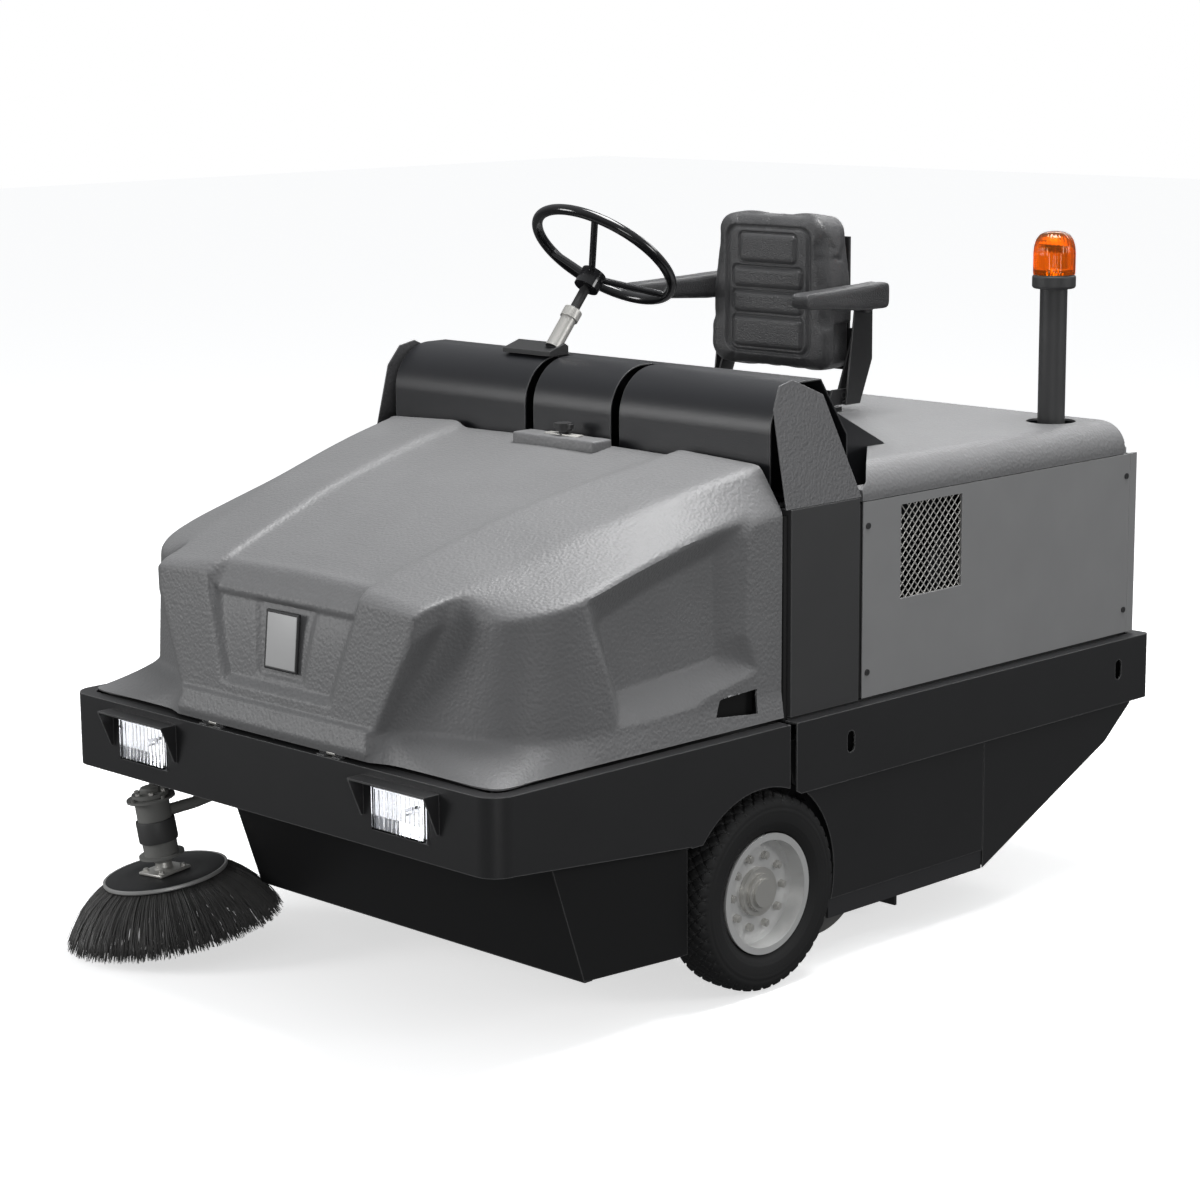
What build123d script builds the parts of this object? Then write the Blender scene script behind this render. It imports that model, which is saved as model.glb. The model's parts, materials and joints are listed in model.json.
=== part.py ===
"""Ride-on sweeper with a front hopper, built as separate pieces.

Millimetres, +Z up.  While the pieces are drawn, x = 0 is the centre plane (+x is the machine's left),
y = 0 is the front face of the bumper, y grows towards the rear and z = 0 is the ground.  When the pieces
are written they are moved so that the origin is the bottom centre of the whole machine's box.
"""
import os
from math import atan, cos, hypot, radians, sin, tan

from build123d import *

os.makedirs("parts", exist_ok=True)

# ---------------------------------------------------------------- driving dimensions
WIDTH = 1570.0              # across the bumpers
REAR = 2442.0               # rear face of the rear bumper
HOPPER_END = 967.0          # rear end of the lifting front unit's bumper
BODY_GAP = 23.0             # between the front unit and the rear body
BUMPER_TOP = 655.0
BUMPER_BOTTOM = 472.0
BUMPER_LIP = 38.0
SHEET = 4.0
TOUCH = 0.3                 # running gap between pieces of different bodies
FIT = 0.05                  # radial clearance of a pin in its bore

WHEEL_R = 245.0
WHEEL_W = 130.0
WHEEL_Y = 908.0
WHEEL_OUT = 776.0           # outer face of a front tyre
RIM_R = 149.0
RIM_SEAT_R = 140.0
NUT_COUNT = 10
NUT_PCD = 178.0
STUD_R = 6.0
STUB_R = 20.0
ARCH_R = 271.0
ARCH_Y = 868.0

REAR_WHEEL_R = 195.0
REAR_WHEEL_W = 120.0
REAR_WHEEL_Y = 1980.0

RAIL_OUT = 640.0
RAIL_W = 35.0
RAIL_LOW = 300.0
RAIL_HIGH = 400.0
DECK_Z = 480.0

ROLLER_R = 195.0
ROLLER_HALF = 560.0
ROLLER_Y = 1330.0
ROLLER_Z = 197.0
SWING_Y = 1560.0            # pivot of the roller's arms
SWING_Z = 300.0

PANEL_X = 750.0             # outer face of the side panels
PANEL_LOW = 662.0
PANEL_HIGH = 1152.0
PANEL_FRONT = 1270.0
COVER_TOP = 1240.0
WINDOW_Y = (1415.0, 1656.0)
WINDOW_Z = (893.0, 1129.0)

COWL_X = 676.0
COWL_FRONT = 1012.0
COWL_TOP = 1455.0
COWL_R = 120.0
SLOT_X = 155.0              # lift arms and the cowl's slots for them
SLOT_W = 30.0

ARM_T = 14.0
ARM_DEPTH = 60.0
PIVOT = (1230.0, 1200.0)    # lift arm pivot on the chassis, y and z
HANGER = (360.0, 850.0)     # hopper pivot on the arms, y and z
PIVOT_PIN_R = 15.0
CAM_Y = 1059.0              # roller on the arm above the lift ram

SEAT_X = -180.0             # driver's line
SEAT_W = 484.0
FOOT_X = 530.0              # half width of the footwell
FOOT_FLOOR = 908.0
FOOT_REAR = 1610.0
TOEBOARD_Y = 1295.0

BRUSH_X = -600.0
BRUSH_Y = 140.0
BRUSH_Z = 178.0
BRUSH_TILT = 8.5
BRUSH_DISC_R = 160.0
BRUSH_TIP_R = 290.0

BEACON = (591.0, 2236.0)
LAMP_X = 477.0

half = WIDTH / 2
skin = half - SHEET
rear_start = HOPPER_END + BODY_GAP
HOOD_AXIS = (20.0, BUMPER_TOP + 7)


# ---------------------------------------------------------------- small builders' helpers
def block(x, y, z, mode=Mode.ADD):
    """A box given by its two limits along each axis."""
    with Locations(((x[0] + x[1]) / 2, (y[0] + y[1]) / 2, (z[0] + z[1]) / 2)):
        Box(x[1] - x[0], y[1] - y[0], z[1] - z[0], mode=mode)


def blocks(x, y, z, mode=Mode.ADD):
    """The same box on both sides of the centre plane."""
    block(x, y, z, mode)
    block((-x[1], -x[0]), y, z, mode)


def rod(start, end, radius, mode=Mode.ADD):
    """A round bar between two points."""
    run = Vector(end) - Vector(start)
    with Locations(Plane(origin=start, z_dir=run)):
        Cylinder(radius, run.length, align=(Align.CENTER, Align.CENTER, Align.MIN), mode=mode)


def plate(points, x, mode=Mode.ADD):
    """A side-view outline, (y, z) points, made solid between two x limits."""
    with BuildSketch(Plane.YZ.offset(x[0])) as outline:
        with BuildLine():
            Polyline(*points, close=True)
        make_face()
    extrude(outline.sketch, amount=x[1] - x[0], mode=mode)


def plates(points, x, mode=Mode.ADD):
    """The same side-view outline on both sides."""
    plate(points, x, mode)
    plate(points, (-x[1], -x[0]), mode)


def slab(points, z, mode=Mode.ADD):
    """A plan-view outline, (x, y) points, made solid between two z limits."""
    with BuildSketch(Plane.XY.offset(z[0])) as outline:
        with BuildLine():
            Polyline(*points, close=True)
        make_face()
    extrude(outline.sketch, amount=z[1] - z[0], mode=mode)


def u_plan(x, y_face, y_open, corner, z, mode=Mode.ADD):
    """A plan-view block with two rounded corners at y_face and a square end at y_open."""
    mid = (y_face + y_open) / 2
    with BuildSketch(Plane.XY.offset(z[0])) as plan:
        with Locations((0, mid)):
            Rectangle(2 * x, abs(y_open - y_face))
        ends = plan.vertices().filter_by(lambda v: abs(v.Y - y_face) < 1)
        fillet(ends, corner)
    extrude(plan.sketch, amount=z[1] - z[0], mode=mode)


# ---------------------------------------------------------------- front unit's outline
lip_x = half - BUMPER_LIP
corner_r = 60.0
side_low = 423.0            # lower edge of the bumper's side where the wheel arch starts
side_low_y = 623.0

with BuildPart() as front_bumper:
    u_plan(half, 0, HOPPER_END, corner_r, (side_low - 60, BUMPER_TOP))
    u_plan(skin, SHEET, HOPPER_END + 1, corner_r - SHEET, (side_low - 61, BUMPER_TOP - SHEET), Mode.SUBTRACT)
    u_plan(lip_x, BUMPER_LIP, HOPPER_END + 1, corner_r - 30, (BUMPER_TOP - 10, BUMPER_TOP + 1), Mode.SUBTRACT)
    plate([(-5, 300), (-5, BUMPER_BOTTOM), (corner_r, BUMPER_BOTTOM), (side_low_y, side_low), (side_low_y, 300)],
          (-half - 1, half + 1), Mode.SUBTRACT)
    block((-half - 1, half + 1), (side_low_y - 1, ARCH_Y), (300, side_low - 3), Mode.SUBTRACT)
    rod((-half - 1, ARCH_Y, WHEEL_R), (half + 1, ARCH_Y, WHEEL_R), ARCH_R, Mode.SUBTRACT)
    for side in (-1, 1):
        block((side * LAMP_X - 92, side * LAMP_X + 92), (-5, 10), (515, 625), Mode.SUBTRACT)
    # outer knuckles of the hood's hinges, with their pins
    for side in (-1, 1):
        for knuckle in ((-40, -14.5), (14.5, 40)):
            rod((side * 220 + knuckle[0], *HOOD_AXIS), (side * 220 + knuckle[1], *HOOD_AXIS), 6)
            block((side * 220 + knuckle[0], side * 220 + knuckle[1]), (6, HOOD_AXIS[0]), (BUMPER_TOP, BUMPER_TOP + 3))
        rod((side * 220 - 38, *HOOD_AXIS), (side * 220 + 38, *HOOD_AXIS), 4 - FIT)

with BuildPart() as rear_bumper:
    u_plan(half, REAR, rear_start, 18, (BUMPER_BOTTOM + 6, BUMPER_TOP))
    u_plan(skin, REAR - SHEET, rear_start - 1, 14, (BUMPER_BOTTOM, BUMPER_TOP - SHEET), Mode.SUBTRACT)
    u_plan(lip_x, REAR - BUMPER_LIP, rear_start - 1, 10, (BUMPER_TOP - 10, BUMPER_TOP + 1), Mode.SUBTRACT)
    rod((-half - 1, ARCH_Y, WHEEL_R), (half + 1, ARCH_Y, WHEEL_R), ARCH_R, Mode.SUBTRACT)
    for slot_y in (rear_start + 200, REAR - 142):
        block((-half - 1, half + 1), (slot_y - 13.5, slot_y + 13.5), (561, 588), Mode.SUBTRACT)
        for slot_z in (561, 588):
            rod((-half - 1, slot_y, slot_z), (half + 1, slot_y, slot_z), 13.5, Mode.SUBTRACT)

# Folded beams behind the front bumper that carry it on the container.
beam_z = (604.0, BUMPER_TOP - SHEET - 8)
can_left = 735.0            # container's wall beside the left wheel
can_right = -430.0          # container's wall beside the side brush
can_rear_x = (-430.0, 560.0)
with BuildPart() as hopper_frame:
    block((-skin + 60, skin - 60), (SHEET, 34), beam_z)
    blocks((skin - 30, skin), (62, HOPPER_END - 5), beam_z)
    slab([(-skin, 62), (-skin + 62, SHEET), (-skin + 92, 34), (-skin + 30, 92)], beam_z)
    slab([(skin, 62), (skin - 62, SHEET), (skin - 92, 34), (skin - 30, 92)], beam_z)
    block((can_rear_x[1] + 1, skin - 30), (HOPPER_END - 45, HOPPER_END - 10), beam_z)
    block((-skin + 30, can_right - 1), (HOPPER_END - 45, HOPPER_END - 10), beam_z)
    for beam_x in (can_right - 31, 300):
        block((beam_x, beam_x + 30), (34, 205), beam_z)
    block((can_right - 31, can_right - 1), (205, HOPPER_END - 45), beam_z)
    for side in (-1, 1):
        block((side * LAMP_X - 95, side * LAMP_X + 95), (0, 60), (600, 626), Mode.SUBTRACT)

# ---------------------------------------------------------------- dust container
skirt_top = (206.0, BUMPER_BOTTOM)
skirt_low = (314.0, 158.0)
can_top = 640.0
can_wall = 5.0
slope = [(620.0, 164.0), (960.0, can_top)]
front_wall = [(skirt_top[0] + 5, can_top), (skirt_top[0] + 5, skirt_top[1]), (skirt_low[0] + 5, 164)]
channel = [(478, can_top + 1), (975, can_top + 1), (975, can_top - 1), (752, 330)]
with BuildPart() as dust_container:
    plate(front_wall + [(620, 164), (655, 213), (655, can_top)], (can_right, can_left))
    plate([(600, 164)] + slope + [(600, can_top)], can_rear_x)
    inner_front = [(216 + can_wall, can_top - can_wall), (216 + can_wall, 475), (325, 169), (400, 169),
                   (400, can_top - can_wall)]
    plate(inner_front, (can_right + can_wall, can_left - can_wall), Mode.SUBTRACT)
    bay_low = [(399, 169), (617, 169), (649, 215), (649, can_top - can_wall), (399, can_top - can_wall)]
    bay_rear = [(399, 169), (617, 169), (946, can_top - can_wall), (399, can_top - can_wall)]
    plate(bay_low, (560, can_left - can_wall), Mode.SUBTRACT)
    plate(bay_rear, (SLOT_X + 22, can_rear_x[1] - can_wall), Mode.SUBTRACT)
    plate(bay_rear, (-SLOT_X + 22, SLOT_X - 22), Mode.SUBTRACT)
    plate(bay_rear, (can_right + can_wall, -SLOT_X - 22), Mode.SUBTRACT)
    plates(channel, (SLOT_X - 17, SLOT_X + 17), Mode.SUBTRACT)
    # mouth that faces the main brush
    block((-400, 530), (640, 1000), (230, 420), Mode.SUBTRACT)
    block((-SLOT_X - 22, -SLOT_X + 22), (640, 760), (228, 422))
    block((SLOT_X - 22, SLOT_X + 22), (640, 760), (228, 422))
    plate([(700, 100), (1100, 664), (1100, 100)], (-430, 560), Mode.SUBTRACT)
    plates(channel, (SLOT_X - 17, SLOT_X + 17), Mode.SUBTRACT)
    # lugs for the lift arms, and their pins
    lug = [(HANGER[0] - 45, can_top), (HANGER[0] - 30, HANGER[1] + 30), (HANGER[0] + 30, HANGER[1] + 30),
           (HANGER[0] + 45, can_top)]
    for lug_x in (SLOT_X - 35, SLOT_X + 21):
        plates(lug, (lug_x, lug_x + 14))
    rod((SLOT_X - 35, *HANGER), (SLOT_X + 35, *HANGER), PIVOT_PIN_R)
    rod((-SLOT_X - 35, *HANGER), (-SLOT_X + 35, *HANGER), PIVOT_PIN_R)

with BuildPart() as filter_cassettes:
    for x in ((-420, -200), (-112, 112), (200, 550)):
        block(x, (430, 900), (can_top, 830))
        for rib in range(6):
            block((x[0] + 15, x[1] - 15), (455 + 72 * rib, 480 + 72 * rib), (830, 842))

with BuildPart() as front_skirt:
    plate([skirt_top, skirt_low, (skirt_low[0] + 5, 164), (skirt_top[0] + 5, skirt_top[1])], (can_right, can_left + 5))
    plate([(skirt_top[0] + 5, skirt_top[1]), (skirt_low[0] + 5, 160), (620, 146), (655, 146), (655, 470)],
          (can_left, can_left + 5))
    block((can_right, can_left), (skirt_low[0] + 5, skirt_low[0] + 30), (155, 163))

# ---------------------------------------------------------------- hood
HOOD_REAR = 985.0
hood_wall = 7.0
hood_x = half - 45.0        # flank of the hood
flange_z = (BUMPER_TOP + 4, BUMPER_TOP + 10)
body_low = 725.0


def hood_section(y, centre, crest, shoulder, edge_x, edge_z, inset=0.0):
    """Half of one cross-section of the hood, mirrored: centre, crest, shoulder, flank edge and foot."""
    foot = body_low - 70
    (xc, zc), (xs, zs) = crest, shoulder
    right = [(xc, zc - inset), (xs - inset, zs - inset), (edge_x - inset, edge_z - inset), (edge_x - inset, foot)]
    return [(-px, pz) for px, pz in reversed(right)] + [(0, centre - inset)] + right


# station: y, centre height, crest (x, z), shoulder (x, z), flank edge x and z
stations = [
    (HOOD_REAR, 1258, (408, 1270), (664, 1261), hood_x, 1160),
    (620, 1196, (350, 1205), (596, 1186), hood_x, 1118),
    (330, 1118, (300, 1122), (535, 1096), hood_x - 4, 1044),
    (235, 1086, (284, 1090), (512, 1070), hood_x - 48, 1020),
    (185, 1069, (276, 1072), (502, 1052), hood_x - 112, 1004),
    (165, 1062, (272, 1064), (496, 1046), hood_x - 205, 996),
]
nose = [(165, 1056, (266, 1056), (478, 1040), 482, 990), (105, 1036, (262, 1036), (474, 1024), 478, 990),
        (62, 960, (260, 960), (468, 960), 470, 920)]


def hood_loft(rows, inset, shift=0.0, mode=Mode.ADD):
    """Straight-ruled body through the stations."""
    faces = []
    for y, centre, crest, shoulder, edge_x, edge_z in rows:
        with BuildSketch(Plane.XZ.offset(-(y + shift))) as cut:
            with BuildLine():
                Polyline(*hood_section(y, centre, crest, shoulder, edge_x, edge_z, inset), close=True)
            make_face()
        faces.append(cut.sketch)
    loft(faces, ruled=True, mode=mode)


with BuildPart() as hood:
    for first, second in zip(stations, stations[1:]):
        hood_loft([first, second], 0)
    for first, second in zip(nose, nose[1:]):
        hood_loft([first, second], 0)
    plate([(62, flange_z[0]), (62, 962), (26, 770), (22, flange_z[0])], (-380, 380))
    u_plan(lip_x, BUMPER_LIP, HOOD_REAR, corner_r - 30, (flange_z[0], flange_z[1] + 24))
    # hollow underneath
    block((-half, half), (0, HOOD_REAR + 5), (600, flange_z[0]), Mode.SUBTRACT)
    inner = [(HOOD_REAR + 1, *stations[0][1:])] + stations[1:-1] + [(165 + hood_wall, *stations[-1][1:])]
    for first, second in zip(inner, inner[1:]):
        hood_loft([first, second], hood_wall, 0, Mode.SUBTRACT)
    inner_nose = [(170 + hood_wall, *nose[0][1:]), (105 + hood_wall, *nose[1][1:]), (62 + hood_wall, *nose[2][1:])]
    for first, second in zip(inner_nose, inner_nose[1:]):
        hood_loft([first, second], hood_wall, 0, Mode.SUBTRACT)
    u_plan(lip_x - 45, BUMPER_LIP + 25, HOOD_REAR + 1, 24, (flange_z[0] - 1, flange_z[1]), Mode.SUBTRACT)
    # raised latch tongue at the rear edge
    block((-118, 174), (925, HOOD_REAR), (1262, 1284))
    # room for the hinge knuckles
    for side in (-1, 1):
        block((side * 220 - 44, side * 220 + 44), (0, 34), (BUMPER_TOP, BUMPER_TOP + 18), Mode.SUBTRACT)

with BuildPart() as hood_hinge_leaves:
    for side in (-1, 1):
        rod((side * 220 - 14, *HOOD_AXIS), (side * 220 + 14, *HOOD_AXIS), 6)
        block((side * 220 - 14, side * 220 + 14), (HOOD_AXIS[0] + 2, 62), (flange_z[0] - 3, flange_z[0]))
        rod((side * 220 - 15, *HOOD_AXIS), (side * 220 + 15, *HOOD_AXIS), 4, Mode.SUBTRACT)

latch_at = (31.0, 955.0)
with BuildPart() as latch_knob:
    with Locations((*latch_at, 1284 + TOUCH)):
        Cylinder(12, 10, align=(Align.CENTER, Align.CENTER, Align.MIN))
    with Locations((*latch_at, 1294 + TOUCH)):
        Cylinder(21, 20, align=(Align.CENTER, Align.CENTER, Align.MIN))
    block((latch_at[0] - 30, latch_at[0] + 30), (latch_at[1] - 7, latch_at[1] + 7), (1300, 1312))

# ---------------------------------------------------------------- headlights
with BuildPart() as headlight_visors:
    for side in (-1, 1):
        x = side * LAMP_X
        block((x - 130, x + 130), (-45, 0), (634, 638))
        for wing in (x - 130, x + 127):
            plate([(-45, 634), (0, 634), (0, 545), (-8, 545)], (wing, wing + 3))

with BuildPart() as headlight_housings:
    for side in (-1, 1):
        x = side * LAMP_X
        block((x - 91, x + 91), (-3, 40), (516, 624))
        block((x - 84, x + 84), (-4, 34), (523, 617), Mode.SUBTRACT)
        rod((x, 30, 570), (x, 12, 570), 9)

with BuildPart() as headlight_lenses:
    for side in (-1, 1):
        x = side * LAMP_X
        block((x - 87, x + 87), (-12, -3), (520, 620))
        for rib in range(11):
            rod((x - 75 + 15 * rib, -11.5, 524), (x - 75 + 15 * rib, -11.5, 616), 2.5)

# ---------------------------------------------------------------- chassis
stub_end = WHEEL_OUT - 30
brush_pivot = (-561.5, 818.0, 452.0)
tower_y = (PIVOT[0] - 40, PIVOT[0] + 40)
with BuildPart() as main_frame:
    blocks((RAIL_OUT - RAIL_W, RAIL_OUT), (830, REAR - 142), (RAIL_LOW, RAIL_HIGH))
    block((-RAIL_OUT, RAIL_OUT), (1020, 1100), (440, 500))
    block((-RAIL_OUT, RAIL_OUT), tower_y, (440, 500))
    block((-RAIL_OUT, RAIL_OUT), (REAR_WHEEL_Y - 80, REAR_WHEEL_Y + 80), (430, 452))
    block((-RAIL_OUT, RAIL_OUT), (REAR - 202, REAR - 142), (RAIL_LOW, RAIL_HIGH))
    block((-RAIL_OUT, RAIL_OUT), (1640, 1690), (RAIL_LOW + 60, RAIL_HIGH))
    blocks((RAIL_OUT - RAIL_W, RAIL_OUT), (1020, 1100), (RAIL_HIGH, 440))
    blocks((RAIL_OUT - RAIL_W, RAIL_OUT), tower_y, (RAIL_HIGH, 440))
    blocks((RAIL_OUT - RAIL_W, RAIL_OUT), (1640, REAR - 142), (RAIL_HIGH, 430))
    blocks((RAIL_OUT - RAIL_W, RAIL_OUT), (1640, REAR - 142), (430, DECK_Z))
    blocks((590, RAIL_OUT), (1030, 1090), (500, 1150))
    for lug_x in (SLOT_X - 35, SLOT_X + 21):
        blocks((lug_x, lug_x + 14), tower_y, (500, PIVOT[1] + 40))
    blocks((SLOT_X + 35, RAIL_OUT), (tower_y[0] + 10, tower_y[1] - 10), (1120, 1150))
    blocks((RAIL_OUT - 50, RAIL_OUT), (1090, tower_y[1] - 10), (1120, 1150))
    for side in (-1, 1):
        rod((side * (SLOT_X - 35), *PIVOT), (side * (SLOT_X + 35), *PIVOT), PIVOT_PIN_R)
        rod((side * RAIL_OUT, WHEEL_Y, WHEEL_R), (side * stub_end, WHEEL_Y, WHEEL_R), STUB_R)
        rod((side * (RAIL_OUT - RAIL_W), WHEEL_Y, WHEEL_R), (side * (RAIL_OUT + 4), WHEEL_Y, WHEEL_R), 34)
    blocks((RAIL_OUT - RAIL_W, RAIL_OUT), (WHEEL_Y - 40, WHEEL_Y + 40), (WHEEL_R - 34, RAIL_LOW))
    # kingpin bore of the rear wheel
    rod((0, REAR_WHEEL_Y, 420), (0, REAR_WHEEL_Y, 460), 30 + FIT, Mode.SUBTRACT)
    # bracket for the side brush arm
    block((-RAIL_OUT, -530), (860, 880), (RAIL_HIGH, 480))
    for ear_x in (-545, -590):
        block((ear_x, ear_x + 12), (795, 861), (430, 474))
    block((-590, -533), (850, 861), (430, 474))
    block((-578, -545), (790, 846), (425, 480), Mode.SUBTRACT)
    rod((-592, *brush_pivot[1:]), (-531, *brush_pivot[1:]), 7)
    # deck under the engine bay
    block((-736, 736), (1640, REAR - SHEET - 4), (DECK_Z, DECK_Z + 6))

belly_low = 169.0
brush_panel_y = 1775.0
with BuildPart() as lower_panels:
    front_half = [(1000, 600), (brush_panel_y, 600), (brush_panel_y, belly_low), (1110, belly_low)]
    rear_half = [(brush_panel_y + 2, 600), (REAR - 20, 600), (REAR - 20, 456), (REAR - 133, 366),
                 (brush_panel_y + 2, 121)]
    plates(front_half, (736, 740))
    plates(rear_half, (736, 740))
    rod((-half, WHEEL_Y, WHEEL_R), (half, WHEEL_Y, WHEEL_R), WHEEL_R + 28, Mode.SUBTRACT)
    blocks((RAIL_OUT, 736), (1600, 1630), (330, 380))
    blocks((RAIL_OUT, 736), (REAR - 250, REAR - 220), (RAIL_HIGH, RAIL_HIGH + 30))

# ---------------------------------------------------------------- cowl, pillars, footwell
with BuildPart() as cowl:
    with BuildSketch(Plane.YZ.offset(-COWL_X)) as cowl_section:
        with BuildLine():
            Polyline((COWL_FRONT, 705), (COWL_FRONT, COWL_TOP), (1196, COWL_TOP), (TOEBOARD_Y, 1310),
                     (TOEBOARD_Y, 1150), (TOEBOARD_Y - SHEET, 1150), (TOEBOARD_Y - SHEET, 1309),
                     (1193, COWL_TOP - SHEET), (COWL_FRONT + SHEET, COWL_TOP - SHEET),
                     (COWL_FRONT + SHEET, 705), close=True)
        make_face()
        fillet(cowl_section.vertices().sort_by_distance((COWL_FRONT, COWL_TOP))[0], COWL_R)
        inner_corner = (COWL_FRONT + SHEET, COWL_TOP - SHEET)
        fillet(cowl_section.vertices().sort_by_distance(inner_corner)[0], COWL_R - SHEET)
    extrude(amount=2 * COWL_X)
    blocks((SLOT_X - SLOT_W / 2, SLOT_X + SLOT_W / 2), (COWL_FRONT - 5, 1160), (1050, COWL_TOP + 1), Mode.SUBTRACT)

end_front = 988.0
end_lean = 13.0
with BuildPart() as pillar_panels:
    blocks((PANEL_X - 6, PANEL_X), (1006, 1257), (660, 1165))
    blocks((PANEL_X - 40, PANEL_X - 6), (1006, 1012), (660, 1165))

with BuildPart() as cowl_end_plates:
    end_outline = [(end_front, 1165), (1002, 1400), (1035, 1452), (1086, 1462), (1186, 1419), (1264, 1165)]
    for side in (-1, 1):
        # a flat plate turned about its lower edge so that its top leans in
        tilted = Plane(origin=(side * (PANEL_X - SHEET), 0, 1165), x_dir=(0, 1, 0),
                       z_dir=(cos(radians(end_lean)), 0, side * sin(radians(end_lean))))
        with BuildSketch(tilted):
            with BuildLine():
                Polyline(*[(y, (z - 1165) / cos(radians(end_lean))) for y, z in end_outline], close=True)
            make_face()
        extrude(amount=side * SHEET)

with BuildPart() as footwell:
    block((-FOOT_X, FOOT_X), (TOEBOARD_Y, FOOT_REAR), (FOOT_FLOOR - 4, FOOT_FLOOR))
    block((-FOOT_X, FOOT_X), (TOEBOARD_Y, TOEBOARD_Y + 3), (FOOT_FLOOR, 1300))
    block((-FOOT_X, FOOT_X), (FOOT_REAR - 3, FOOT_REAR), (FOOT_FLOOR, 1228))
    plates([(TOEBOARD_Y, FOOT_FLOOR - 4), (TOEBOARD_Y, 1311), (1204, 1449), (FOOT_REAR - 6, 1244),
            (FOOT_REAR, 1232), (FOOT_REAR, FOOT_FLOOR - 4)], (FOOT_X, FOOT_X + 4))
    for bead in range(9):
        block((-FOOT_X + 60, FOOT_X - 60), (1350 + 28 * bead, 1356 + 28 * bead), (FOOT_FLOOR, FOOT_FLOOR + 3))
    # pedal brackets and their pins
    for x, y, z in ((SEAT_X - 160, 1406, 940), (SEAT_X - 66, 1406, 940), (SEAT_X + 50, 1396, 938),
                    (SEAT_X + 92, 1396, 938)):
        block((x, x + 6), (y - 12, y + 12), (FOOT_FLOOR, z + 12))
    rod((SEAT_X - 160, 1406, 940), (SEAT_X - 60, 1406, 940), 6)
    rod((SEAT_X + 50, 1396, 938), (SEAT_X + 98, 1396, 938), 6)

# ---------------------------------------------------------------- engine cover, panels
with BuildPart() as engine_cover:
    block((-PANEL_X, PANEL_X), (PANEL_FRONT - 2, REAR - 52), (PANEL_HIGH + 2, COVER_TOP))
    top_edges = engine_cover.faces().sort_by(Axis.Z)[-1].edges().filter_by(Axis.Y)
    fillet(top_edges, 78)
    rear_edges = engine_cover.faces().sort_by(Axis.Y)[-1].edges().sort_by(Axis.Z)[-1]
    fillet(rear_edges, 50)
    block((-PANEL_X + 6, PANEL_X - 6), (PANEL_FRONT + 4, REAR - 58), (PANEL_HIGH, COVER_TOP - 60), Mode.SUBTRACT)
    block((-PANEL_X + 60, PANEL_X - 60), (PANEL_FRONT + 4, REAR - 90), (PANEL_HIGH, COVER_TOP - 6), Mode.SUBTRACT)
    block((-FOOT_X - 5, FOOT_X + 5), (PANEL_FRONT - 10, FOOT_REAR + 1), (PANEL_HIGH, COVER_TOP + 1), Mode.SUBTRACT)
    for side in (-1, 1):
        slab([(side * FOOT_X, PANEL_FRONT - 10), (side * PANEL_X, PANEL_FRONT - 10), (side * (PANEL_X - 10), 1290),
              (side * (FOOT_X + 4), 1540), (side * FOOT_X, 1540)], (PANEL_HIGH + 30, COVER_TOP + 1), Mode.SUBTRACT)
    rod((*BEACON, COVER_TOP - 30), (*BEACON, COVER_TOP + 5), 66, Mode.SUBTRACT)

with BuildPart() as side_panels:
    blocks((PANEL_X - SHEET, PANEL_X), (PANEL_FRONT, REAR - 62), (PANEL_LOW, PANEL_HIGH))
    block((PANEL_X - 10, PANEL_X + 1), WINDOW_Y, WINDOW_Z, Mode.SUBTRACT)

wire_gap = 24.0
with BuildPart() as side_grille:
    block((PANEL_X - 8, PANEL_X - SHEET), (WINDOW_Y[0] - 12, WINDOW_Y[1] + 12), (WINDOW_Z[0] - 12, WINDOW_Z[1] + 12))
    block((PANEL_X - 9, PANEL_X), WINDOW_Y, WINDOW_Z, Mode.SUBTRACT)
    high = WINDOW_Z[1] - WINDOW_Z[0]
    steps = int((WINDOW_Y[1] - WINDOW_Y[0] + high) / wire_gap)
    for step in range(1, steps):
        y0 = WINDOW_Y[0] + step * wire_gap
        # each wire keeps inside the window
        first = (max(y0 - high, WINDOW_Y[0]), WINDOW_Z[0] + min(y0 - WINDOW_Y[0], high))
        last = (min(y0, WINDOW_Y[1]), WINDOW_Z[0] + max(y0 - WINDOW_Y[1], 0))
        if hypot(last[0] - first[0], last[1] - first[1]) > wire_gap:
            rod((PANEL_X - 6, *first), (PANEL_X - 6, *last), 1.6)
            flip = WINDOW_Y[0] + WINDOW_Y[1]
            rod((PANEL_X - 6, flip - first[0], first[1]), (PANEL_X - 6, flip - last[0], last[1]), 1.6)

with BuildPart() as panel_screws:
    for side in (-1, 1):
        for y in (PANEL_FRONT + 18, REAR - 79):
            for z in (PANEL_LOW + 64, PANEL_HIGH - 60):
                rod((side * PANEL_X, y, z), (side * (PANEL_X + 3), y, z), 8)

with BuildPart() as rear_panel:
    block((-PANEL_X + SHEET, PANEL_X - SHEET), (REAR - 60, REAR - 54), (PANEL_LOW, PANEL_HIGH))
    blocks((PANEL_X - 12, PANEL_X - 1), (REAR - 60, REAR - 30), (PANEL_LOW, PANEL_HIGH))
    for louvre in range(7):
        z = PANEL_LOW + 150 + 34 * louvre
        block((-300, 300), (REAR - 54, REAR - 44), (z, z + 12))

# ---------------------------------------------------------------- beacon
with BuildPart() as beacon_pole:
    rod((*BEACON, DECK_Z + 6), (*BEACON, 1596), 36.5)
    rod((*BEACON, DECK_Z), (*BEACON, 1600), 33, Mode.SUBTRACT)
    rod((*BEACON, DECK_Z + 6), (*BEACON, DECK_Z + 14), 70)
    # lamp base on the pole
    rod((*BEACON, 1596), (*BEACON, 1633), 58)
    base_rims = beacon_pole.edges().filter_by(GeomType.CIRCLE).filter_by(lambda e: abs(e.radius - 58) < 1)
    fillet(base_rims, 8)

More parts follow.
